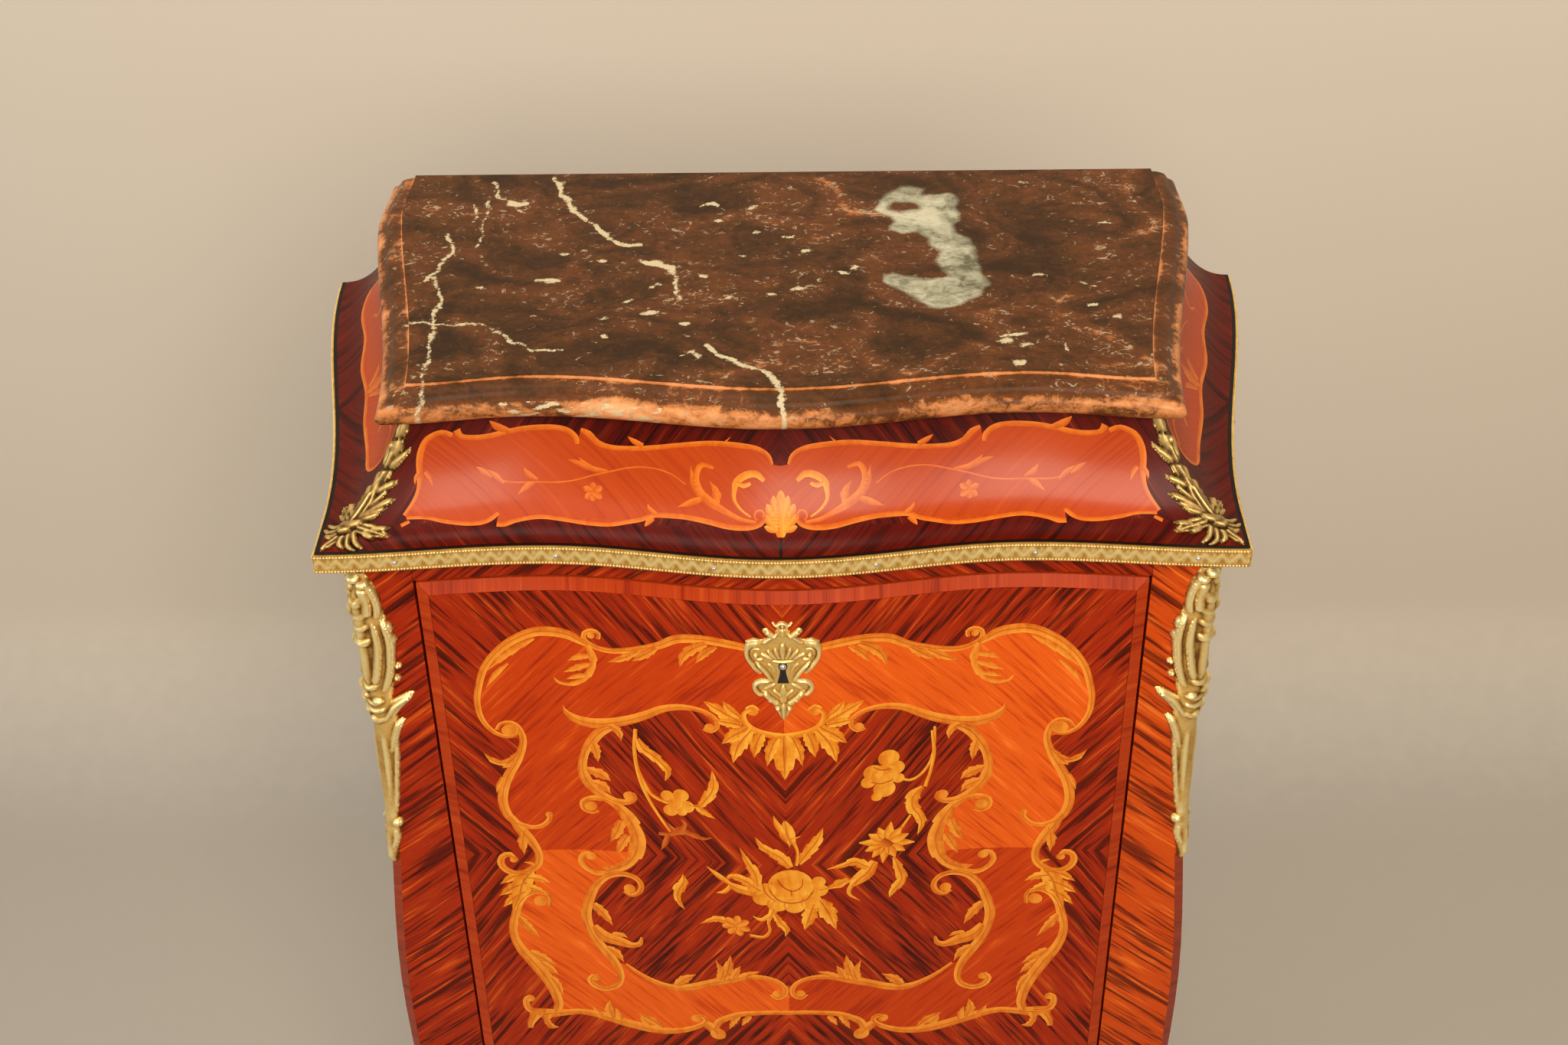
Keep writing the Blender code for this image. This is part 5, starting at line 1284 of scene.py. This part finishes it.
def frieze_corner(hand):
    """The frieze's mitre: s runs across it, front side negative, and inset runs up it."""
    def lay(s, inset, lift=0.0):
        inset = min(max(inset, 0.0), SWEEP_IN)
        rise = climbed(inset / SWEEP_IN)
        x = BAND_HALF - inset + min(s, 0.0)
        y = CORNER_Y + inset + max(s, 0.0)
        if s < 0:
            here = Vector((x, front_line(x, inset), band_top + rise))
        else:
            here = Vector((BAND_HALF + side_out(y) - inset, y, band_top + rise))
        flat = 0.9 - 0.75 * (inset / SWEEP_IN)
        blend = min(max(s / 0.012, -1.0), 1.0)
        outward = Vector((0.5 + blend / 2, blend / 2 - 0.5, flat + 0.15)).normalized()
        here += outward * lift
        here.x *= hand
        return here
    return lay


for hand, word in ((1, "right"), (-1, "left")):
    cast_mount(f"{word}_leaf_spray", frieze_corner(hand), (-39, 39, 2, 66), 0.0007,
               list(SPRAY_MIDDLE) + both_hands(SPRAY_LEAVES), [(0, 57.5, 1.6, 5.5)], "carcass",
               [f"{word}_frieze_spray"], Vector((0.5 * hand, -0.5, 0.7)), gilt_aged)

CHUTE_MIDDLE = (
    (((0, 13, 14), (0, 22, 24), (0, 32, 29), (0, 44, 31), (0, 54, 34), (0, 62, 39), (0, 75, 42),
     (0, 90, 41), (0, 100, 39), (0, 112, 35), (0, 122, 30), (0, 132, 26), (0, 145, 27), (0, 160, 28),
     (0, 178, 26), (0, 200, 21), (0, 220, 17), (0, 240, 14), (0, 260, 11), (0, 275, 12), (0, 290, 11),
     (0, 302, 8), (0, 316, 2)), 5.2, 0),
    (((0, 24, 8), (0, 48, 10), (0, 70, 7), (0, 92, 8), (0, 112, 8), (0, 126, 4)), 8, 0),
    (((-6, 26, 4), (-3, 34, 6), (0, 40, 8), (3, 34, 6), (6, 26, 4)), 9.5, 0),
    (((-7, 42, 4), (-3, 49, 6), (0, 52, 7), (3, 49, 6), (7, 42, 4)), 10, 0),
    (((-6, 56, 4), (0, 63, 7), (6, 56, 4)), 9.5, 0), (((-6, 70, 4), (0, 77, 8), (6, 70, 4)), 10, 0),
    (((-6, 116, 4), (0, 122, 7), (6, 116, 4)), 10, 0), (((-9, 133, 4), (0, 138, 6), (9, 133, 4)), 8, 0),
    (((-9, 141, 4), (0, 146, 6), (9, 141, 4)), 8, 0), (((-8, 150, 4), (0, 157, 6), (8, 150, 4)), 7, 0),
    (((0, 276, 5), (0, 288, 7), (0, 304, 5), (0, 316, 2)), 5.5, 0))
CHUTE_LEAVES = (
    (((-3, 16, 5), (-8, 24, 6), (-11.5, 36, 6), (-12, 46, 6), (-10, 55, 4)), 6, 0),
    (((-4, 22, 8), (-6, 36, 9), (-5, 52, 6)), 7.5, 0),
    (((-11, 50, 1.5), (-15.5, 60, 5), (-18, 76, 7), (-17, 90, 7), (-15, 104, 6.5), (-11, 118, 6),
     (-6, 130, 4)), 7, 0),
    (((-5, 46, 1.5), (-8, 60, 5), (-9, 78, 7.5), (-7.5, 94, 7), (-5, 110, 6), (-2, 124, 4)), 7.5, 0),
    (((-16, 58, 3), (-19, 62, 4), (-20, 68, 2)), 5, 0),
    (((-18, 70, 3), (-21, 74, 4), (-21, 80, 2)), 5, 0),
    (((-4, 158, 8), (-9, 149, 10), (-14, 142, 10), (-20, 137, 8), (-25, 133, 6), (-29, 131, 3)), 6.5,
     2),
    (((-6, 192, 5), (-9, 177, 7), (-12, 167, 7), (-15, 161, 6), (-18, 158, 3)), 5.5, 0),
    (((-2.5, 158, 3), (-3.5, 180, 5), (-3.5, 205, 5), (-3, 235, 4), (-2, 258, 3)), 6.6, 0),
    (((-11, 172, 3), (-9.5, 196, 4), (-7.5, 220, 3.6), (-6, 245, 3), (-4.5, 260, 2)), 5, 0),
    (((-4, 275, 4), (-4.5, 286, 5), (-2, 300, 3)), 5, 0))
CHUTE_BOSSES = (
    (-21, 102, 2.4, 4.5), (-19, 114, 2.4, 4.5), (-5.5, 268, 4, 6), (-5, 20, 4, 8), (-4, 134, 3.5, 9))
CHUTE_MID_BOSSES = ((0, 16, 4.5, 9), (0, 75, 5, 9), (0, 266, 3.5, 5.5), (0, 155, 4.5, 8))
CHUTE_RUFFLES = (
    (6, 15, 4.5, 9), (6, 33, 6, 9), (7, 50, 7, 11), (7, 65, 5.5, 9), (7, 80, 6, 11), (6, 110, 6, 8.5),
    (6, 125, 6.5, 11.5), (7, 139, 6, 11.5), (6, 151, 5, 9.5))
WAIST_HALF = 0.319
HIP_OUT = 0.020
CORNER_ROUND = 0.008
HEAD_Z = band_low - 0.0003


def body_half(z):
    """Half width of the body at a height: waist under the band, hip at the foot of the fall."""
    return WAIST_HALF + HIP_OUT * wave((fall_top - 0.140 - z) / 0.335)


def body_corner(hand):
    """The body's rounded front corner: s runs round it, front side negative, t down from the band."""
    radius = CORNER_ROUND
    quarter = radius * math.pi / 4

    def lay(s, t, lift=0.0):
        z = HEAD_Z - t
        half = body_half(z)
        turn = math.pi / 4 * (1 + min(max(s / quarter, -1.0), 1.0))
        outward = Vector((math.sin(turn), -math.cos(turn), 0))
        front = HOLLOW_Y - serpentine(half - radius, HIP_HALF)
        here = Vector((half - radius, front + radius, z)) + outward * radius
        if s < -quarter:
            here.x = half - radius + s + quarter
            here.y = HOLLOW_Y - serpentine(here.x, HIP_HALF)
        elif s > quarter:
            here.y += s - quarter
            here.x = half + side_out(here.y)
        here += outward * lift
        here.x *= hand
        return here
    return lay


for hand, word in ((1, "right"), (-1, "left")):
    cast_mount(f"{word}_chute_casting", body_corner(hand), (-31, 31, 11, 318), 0.0009,
               list(CHUTE_MIDDLE) + both_hands(CHUTE_LEAVES),
               both_bosses(CHUTE_BOSSES) + list(CHUTE_MID_BOSSES + CHUTE_RUFFLES),
               "carcass", [f"{word}_corner_chute"], Vector((hand * 0.7, -0.7, 0)))

PLATE_MIDDLE = (
    (((0, 12, 12), (0, 16, 24), (0, 20, 44), (0, 26, 54), (0, 33, 54), (0, 40, 46), (0, 47, 36),
     (0, 54, 24), (0, 59, 30), (0, 64, 44), (0, 70, 36), (0, 76, 22), (0, 86, 13), (0, 94, 6)), 1.6, 0),
    (((-3, 6.5, 2.6), (-3.3, 3, 2.6), (0, 0.9, 2.6), (3.3, 3, 2.6), (3, 6.5, 2.6)), 3, 0),
    (((0, 6.5, 7), (0, 13, 9)), 3, 2), (((0, 36, 3), (0, 30, 5), (0, 24, 5), (0, 20, 2)), 3.6, 0),
    (((-11, 36, 2), (-5, 38, 3), (0, 38.5, 3), (5, 38, 3), (11, 36, 2)), 2.8, 0),
    (((0, 61, 3), (0, 69, 6), (0, 80, 6)), 3.6, 0),
    (((0, 79, 8), (0, 86, 11), (0, 91, 8), (0, 97, 1.5)), 4.5, 2))
PLATE_SCROLLS = (
    (((-4, 12, 2.5), (-10, 16, 2.6), (-15, 21, 2.6)), 3.4, 0), (((-3, 5, 2.5), (-7, 1.5, 1.8)), 2.6, 0),
    (((-5, 15, 3), (-9, 12, 4.5), (-12.5, 9, 5)), 3.4, 0),
    (((-16.5, 23, 6), (-20, 21, 7.5), (-24.5, 22, 6.5), (-27.3, 27, 4.2), (-27, 34, 3.6),
     (-23.5, 41, 3.8), (-18, 49, 5)), 4, 0),
    (((-17, 18.5, 2), (-22, 17.5, 2.2), (-27, 20, 2)), 4.4, 0),
    (((-17, 26.5, 2), (-21.5, 26, 2), (-24.5, 29, 2)), 3.4, 0),
    (((-20, 40, 3), (-13.5, 48, 3.8), (-7, 59, 2.5)), 4, 0),
    (((-12, 40, 3), (-8, 44, 3), (-6, 50, 2)), 2.6, 0),
    (((-9, 58, 3), (-13, 57.5, 4), (-18, 58.5, 4.2), (-21.5, 62, 4), (-21.5, 66.5, 4), (-18, 71, 3.6),
     (-14.5, 72, 3)), 4, 0),
    (((-15, 69, 5), (-11, 74, 5), (-7, 78, 5), (-3, 80.5, 4)), 4.4, 0),
    (((-8, 66, 3), (-3, 71, 3), (2, 77, 2)), 3.4, 0),
    (((-2, 36, 2), (-4.5, 30, 4), (-6, 24, 2)), 3.4, 0),
    (((-4, 36, 2), (-8.5, 31, 4), (-12, 26, 2)), 3.4, 0),
    (((-7, 36, 2), (-12, 33, 4), (-17, 30, 2)), 3.2, 0),
    (((-15, 36, 3), (-19, 36, 3), (-22, 33, 2)), 2.8, 0),
    (((-6, 60, 2), (-10, 63, 4), (-15, 66, 3)), 2.8, 0))
PLATE_BOSSES = ((-20.5, 32.5, 2, 3.4), (-10, 76, 2.4, 5), (-4.5, 85, 2.2, 4.6))
PLATE_MID_BOSSES = ((0, 4.2, 1.2, 2.4),)
KEYHOLE = ((0, 39.5, 5), (0, 43, 7), (0, 46.5, 4.5), (0, 52, 5.5), (0, 59.5, 9))
KEYHOLE_LIFT = 0.0020
PIN, PIN_DROP, PIN_LIFT = 0.0027, 0.0428, 0.0019
DRAWERS_LOW, DRAWERS_HIGH, DRAWER_BOW = 0.3063, 0.6343, 0.006
# The keyhole is a near-black sheet laid over the plate: painted shadow inside the hole.
keyhole_painted_shadow, nodes, links, shader = new_finish("keyhole_painted_shadow", 0.6)
hole_shade = figure(nodes, links, nodes.new("ShaderNodeTexCoord").outputs["Object"], (300, 300, 300), 3)
hole_shade_tone = shades(nodes, links, hole_shade, (0.3, (0.002, 0.002, 0.002)), (0.7, (0.012, 0.009, 0.007)))
links.new(hole_shade_tone, shader.inputs["Base Color"])


def key_plate(name, face, top, size, body, node):
    """A rococo key plate: low body, scrolls and shells in relief, a keyhole laid as a near-black sheet of
    painted shadow, and its pin.
    """
    def lay(s, t, lift=0.0):
        return face(s * size, top - t * size, lift * size)
    cast_mount(name, lay, (-31, 31, -1, 99), 0.00055 if size == 1.0 else 0.0009,
               list(PLATE_MIDDLE) + both_hands(PLATE_SCROLLS),
               both_bosses(PLATE_BOSSES) + list(PLATE_MID_BOSSES), body, [node], ahead_of_fall)
    hole = bmesh.new()
    saw_strip(hole, lay, KEYHOLE, KEYHOLE_LIFT)
    let_in(f"{name}_keyhole", hole, [keyhole_painted_shadow], body, ahead_of_fall)
    pin = bmesh.new()
    for vert in bmesh.ops.create_icosphere(pin, subdivisions=3, radius=PIN)["verts"]:
        vert.co = lay(vert.co.x, PIN_DROP + vert.co.y, PIN_LIFT + vert.co.z)
    pin.normal_update()
    bmesh.ops.recalc_face_normals(pin, faces=pin.faces)
    put_up(f"{name}_pin", pin, [nail_steel], body, (), 80)


def on_field_face(x, z, lift):
    """A place before the fall's field, at its height over the floor."""
    return Vector((x, field_y(x) - lift, z))


def on_drawer_face(x, z, lift):
    """The same before the two lower drawers, which bow out together."""
    bow = wave(2 * min(z - DRAWERS_LOW, DRAWERS_HIGH - z) / (DRAWERS_HIGH - DRAWERS_LOW))
    return Vector((x, HOLLOW_Y - serpentine(x, HIP_HALF) - DRAWER_BOW * bow - lift, z))


key_plate("fall_key_plate", on_field_face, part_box("fall_escutcheon")[1].z, 1.0, "fall", "fall_escutcheon")
for word in ("upper", "lower"):
    node = f"{word}_drawer_escutcheon"
    key_plate(f"{word}_drawer_key_plate", on_drawer_face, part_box(node)[1].z, 0.65, f"{word}_drawer", node)

for word in ("left", "right"):
    shoe = f"{word}_shoe"
    put_up(f"{word}_gilt_shoe", welded(shoe), [gilt_plain], "carcass", [shoe], 50)

# Brass hinges and stays, the steel lock with its bolt, and the turned brass knobs inside the desk
# keep the shape of their solids; each is filed smooth and lacquered.
finish_nodes(lock_steel, "lock_case", "lock_bolt")
finish_nodes(gilt_plain, "strike_plate", *(f"{word}_{piece}" for word in ("left", "right") for piece in (
    "hinge_rail_leaf", "hinge_fall_leaf", "quadrant_stay")))
for word in ("left", "middle", "right"):
    body = f"{word}_inner_drawer"
    knob = f"small_knob_{word}"
    put_up(f"inner_knob_{word}", welded(knob), [gilt_plain], body, [knob], 60)
    drawer = welded(f"small_drawer_{word}")
    lay_veneer(drawer, 90, (0, 0, 0))
    for face in drawer.faces:
        face.material_index = int(face.normal.y > -0.9 or face.calc_center_median().y > 0.034)
    put_up(f"inner_drawer_{word}", drawer, [tulipwood, oak_across], body,
           [f"small_drawer_{word}"])

# The writing surface is one skin of green leather, pasted on the fall's inner face, with a narrow
# rolled edge and a double line tooled round it in gold leaf.
hide_low, hide_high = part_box("writing_leather")
hide = bmesh.new()
bmesh.ops.create_grid(hide, x_segments=40, y_segments=40, size=1)
for vert in hide.verts:
    edge = max(abs(vert.co.x), abs(vert.co.y))
    thick = (hide_high.y - hide_low.y) * (1 if edge < 0.99 else 0.35)
    x = (hide_low.x + hide_high.x) / 2 + vert.co.x * (hide_high.x - hide_low.x) / 2
    z = (hide_low.z + hide_high.z) / 2 + vert.co.y * (hide_high.z - hide_low.z) / 2
    vert.co = (x, hide_low.y + thick, z)
skirt = bmesh.ops.extrude_edge_only(hide, edges=[edge for edge in hide.edges if edge.is_boundary])["geom"]
for vert in skirt:
    if isinstance(vert, bmesh.types.BMVert):
        vert.co.y = hide_low.y
bmesh.ops.holes_fill(hide, edges=[edge for edge in hide.edges if edge.is_boundary])
bmesh.ops.recalc_face_normals(hide, faces=hide.faces)
leather, nodes, links, shader = new_finish("green_leather", 0.48)
place = nodes.new("ShaderNodeTexCoord").outputs["Object"]
pebble = nodes.new("ShaderNodeTexVoronoi")
pebble.inputs["Scale"].default_value = 900
links.new(place, pebble.inputs["Vector"])
stain = figure(nodes, links, place, (14, 14, 14), 4, 0.6)
green = shades(nodes, links, stain, (0.34, daylight(28, 46, 32)), (0.52, daylight(44, 72, 50)),
               (0.7, daylight(70, 96, 66)))
links.new(green, shader.inputs["Base Color"])
press(nodes, links, shader, pebble.outputs["Distance"], 0.0003)
put_up("leather_skin", hide, [leather], "fall", ["writing_leather"])
tooling = bmesh.new()
GOLD_PROUD = 0.00012
for margin, width in ((0.012, 0.0022), (0.017, 0.0008)):
    low_x, high_x = hide_low.x + margin, hide_high.x - margin
    low_z, high_z = hide_low.z + margin, hide_high.z - margin
    upright = (width / 2, (high_z - low_z) / 2)
    level = ((high_x - low_x) / 2, width / 2)
    for x, z in ((low_x, low_z), (high_x, high_z)):
        for line_x, line_z, size in ((x, (low_z + high_z) / 2, upright), ((low_x + high_x) / 2, z, level)):
            for vert in bmesh.ops.create_cube(tooling, size=2)["verts"]:
                vert.co = (line_x + vert.co.x * size[0], hide_high.y + vert.co.y * GOLD_PROUD,
                           line_z + vert.co.z * size[1])
put_up("leather_tooling", tooling, [gilt_plain], "fall")

# The room: a plain pale floor that sweeps up into the wall behind the desk. A warm key lamp hangs
# before it, with a weak ceiling, a cool window at the left and lamps on the wall; the camera looks
# down on the front.
FLOOR_RUN = 13.0
FLOOR_FRONT = -9.0
FLOOR_HALF = 9.0
BEND_START, BEND = 0.78, 0.22
sweep_sheet = bmesh.new()
bmesh.ops.create_grid(sweep_sheet, x_segments=2, y_segments=260, size=1)
for vert in sweep_sheet.verts:
    y, z = FLOOR_FRONT + (vert.co.y + 1) / 2 * FLOOR_RUN, 0.0
    if y > BEND_START:
        turn = min((y - BEND_START) / BEND, math.pi / 2)
        z = BEND * (1 - math.cos(turn)) + max(0.0, y - BEND_START - BEND * math.pi / 2)
        y = BEND_START + BEND * math.sin(turn)
    vert.co = (vert.co.x * FLOOR_HALF, y, z)
for vert in bmesh.ops.create_grid(sweep_sheet, x_segments=1, y_segments=1, size=1)["verts"]:
    vert.co = (vert.co.x * FLOOR_HALF, 4.85 + vert.co.y * 4.15, -0.001)
floor_mesh = bpy.data.meshes.new("sweep")
for face in sweep_sheet.faces:
    face.smooth = True
    face.normal_update()
    if face.normal.z - face.normal.y < 0:
        face.normal_flip()
sweep_sheet.to_mesh(floor_mesh)
sweep_sheet.free()
paper, nodes, links, shader = new_finish("grey_beige_paper", 0.85)
place = nodes.new("ShaderNodeTexCoord").outputs["Object"]
height = nodes.new("ShaderNodeSeparateXYZ")
links.new(place, height.inputs["Vector"])
dust = figure(nodes, links, place, (40, 40, 40), 4)
level = sum_up(nodes, links, (height.outputs["Z"], 1.0), (dust, 0.05))
paper_tone = shades(nodes, links, level, (0.03, daylight(176, 168, 156)), (0.22, daylight(214, 202, 184)))
links.new(paper_tone, shader.inputs["Base Color"])
clear = nodes.new("ShaderNodeBsdfTransparent")
either = nodes.new("ShaderNodeMixShader")
links.new(nodes.new("ShaderNodeNewGeometry").outputs["Backfacing"], either.inputs["Fac"])
links.new(shader.outputs["BSDF"], either.inputs[1])
links.new(clear.outputs["BSDF"], either.inputs[2])
links.new(either.outputs["Shader"], nodes["Material Output"].inputs["Surface"])
floor_mesh.materials.append(paper)
floor = bpy.data.objects.new("floor_sweep", floor_mesh)
bpy.context.scene.collection.objects.link(floor)


def lamp(name, place, aim, size, power, colour):
    """A square soft lamp hung at a place and turned to its aim."""
    data = bpy.data.lights.new(name, "AREA")
    data.size = size
    data.energy = power
    data.color = colour
    light = bpy.data.objects.new(name, data)
    light.location = place
    light.rotation_euler = (Vector(aim) - Vector(place)).to_track_quat("-Z", "Y").to_euler()
    bpy.context.scene.collection.objects.link(light)


lamp("key_lamp", (0.35, -2.6, 2.95), (0.0, 0.0, 1.0), 1.4, 90, (1.0, 0.91, 0.79))
lamp("ceiling_lamp", (-0.6, -1.2, 3.3), (0.0, 0.0, 1.2), 1.4, 15, (1.0, 0.92, 0.82))
lamp("window_lamp", (-2.4, -0.9, 1.9), (-0.6, 0.1, 0.5), 1.2, 18, (0.84, 0.91, 1.0))
lamp("wall_lamp", (-0.2, 0.35, 3.0), (-0.1, 1.0, 1.2), 0.9, 15, (1.0, 0.93, 0.82))
lamp("right_wall_lamp", (1.6, 0.1, 2.6), (2.4, 1.0, 1.4), 0.9, 14, (1.0, 0.93, 0.82))
world = bpy.data.worlds.new("room")
world.use_nodes = True
world.node_tree.nodes["Background"].inputs["Color"].default_value = (1.0, 0.95, 0.88, 1)
world.node_tree.nodes["Background"].inputs["Strength"].default_value = 0.18
bpy.context.scene.world = world

pitch, yaw, roll = (math.radians(angle) for angle in (37.0, -0.9414, -0.9801))
ahead = Vector((math.sin(yaw) * math.cos(pitch), math.cos(yaw) * math.cos(pitch), -math.sin(pitch)))
right = Vector((math.cos(yaw), -math.sin(yaw), 0))
up = right.cross(ahead)
right, up = right * math.cos(roll) + up * math.sin(roll), up * math.cos(roll) - right * math.sin(roll)
camera_data = bpy.data.cameras.new("camera")
camera_data.lens = 49.21875
camera_data.sensor_width = 36
camera_data.sensor_fit = "HORIZONTAL"
camera = bpy.data.objects.new("camera", camera_data)
camera.matrix_world = Matrix((right, up, -ahead)).transposed().to_4x4()
camera.location = (0.0229, -1.4220, 2.2121)
bpy.context.scene.collection.objects.link(camera)
bpy.context.scene.camera = camera
bpy.context.scene.view_settings.view_transform = "Standard"
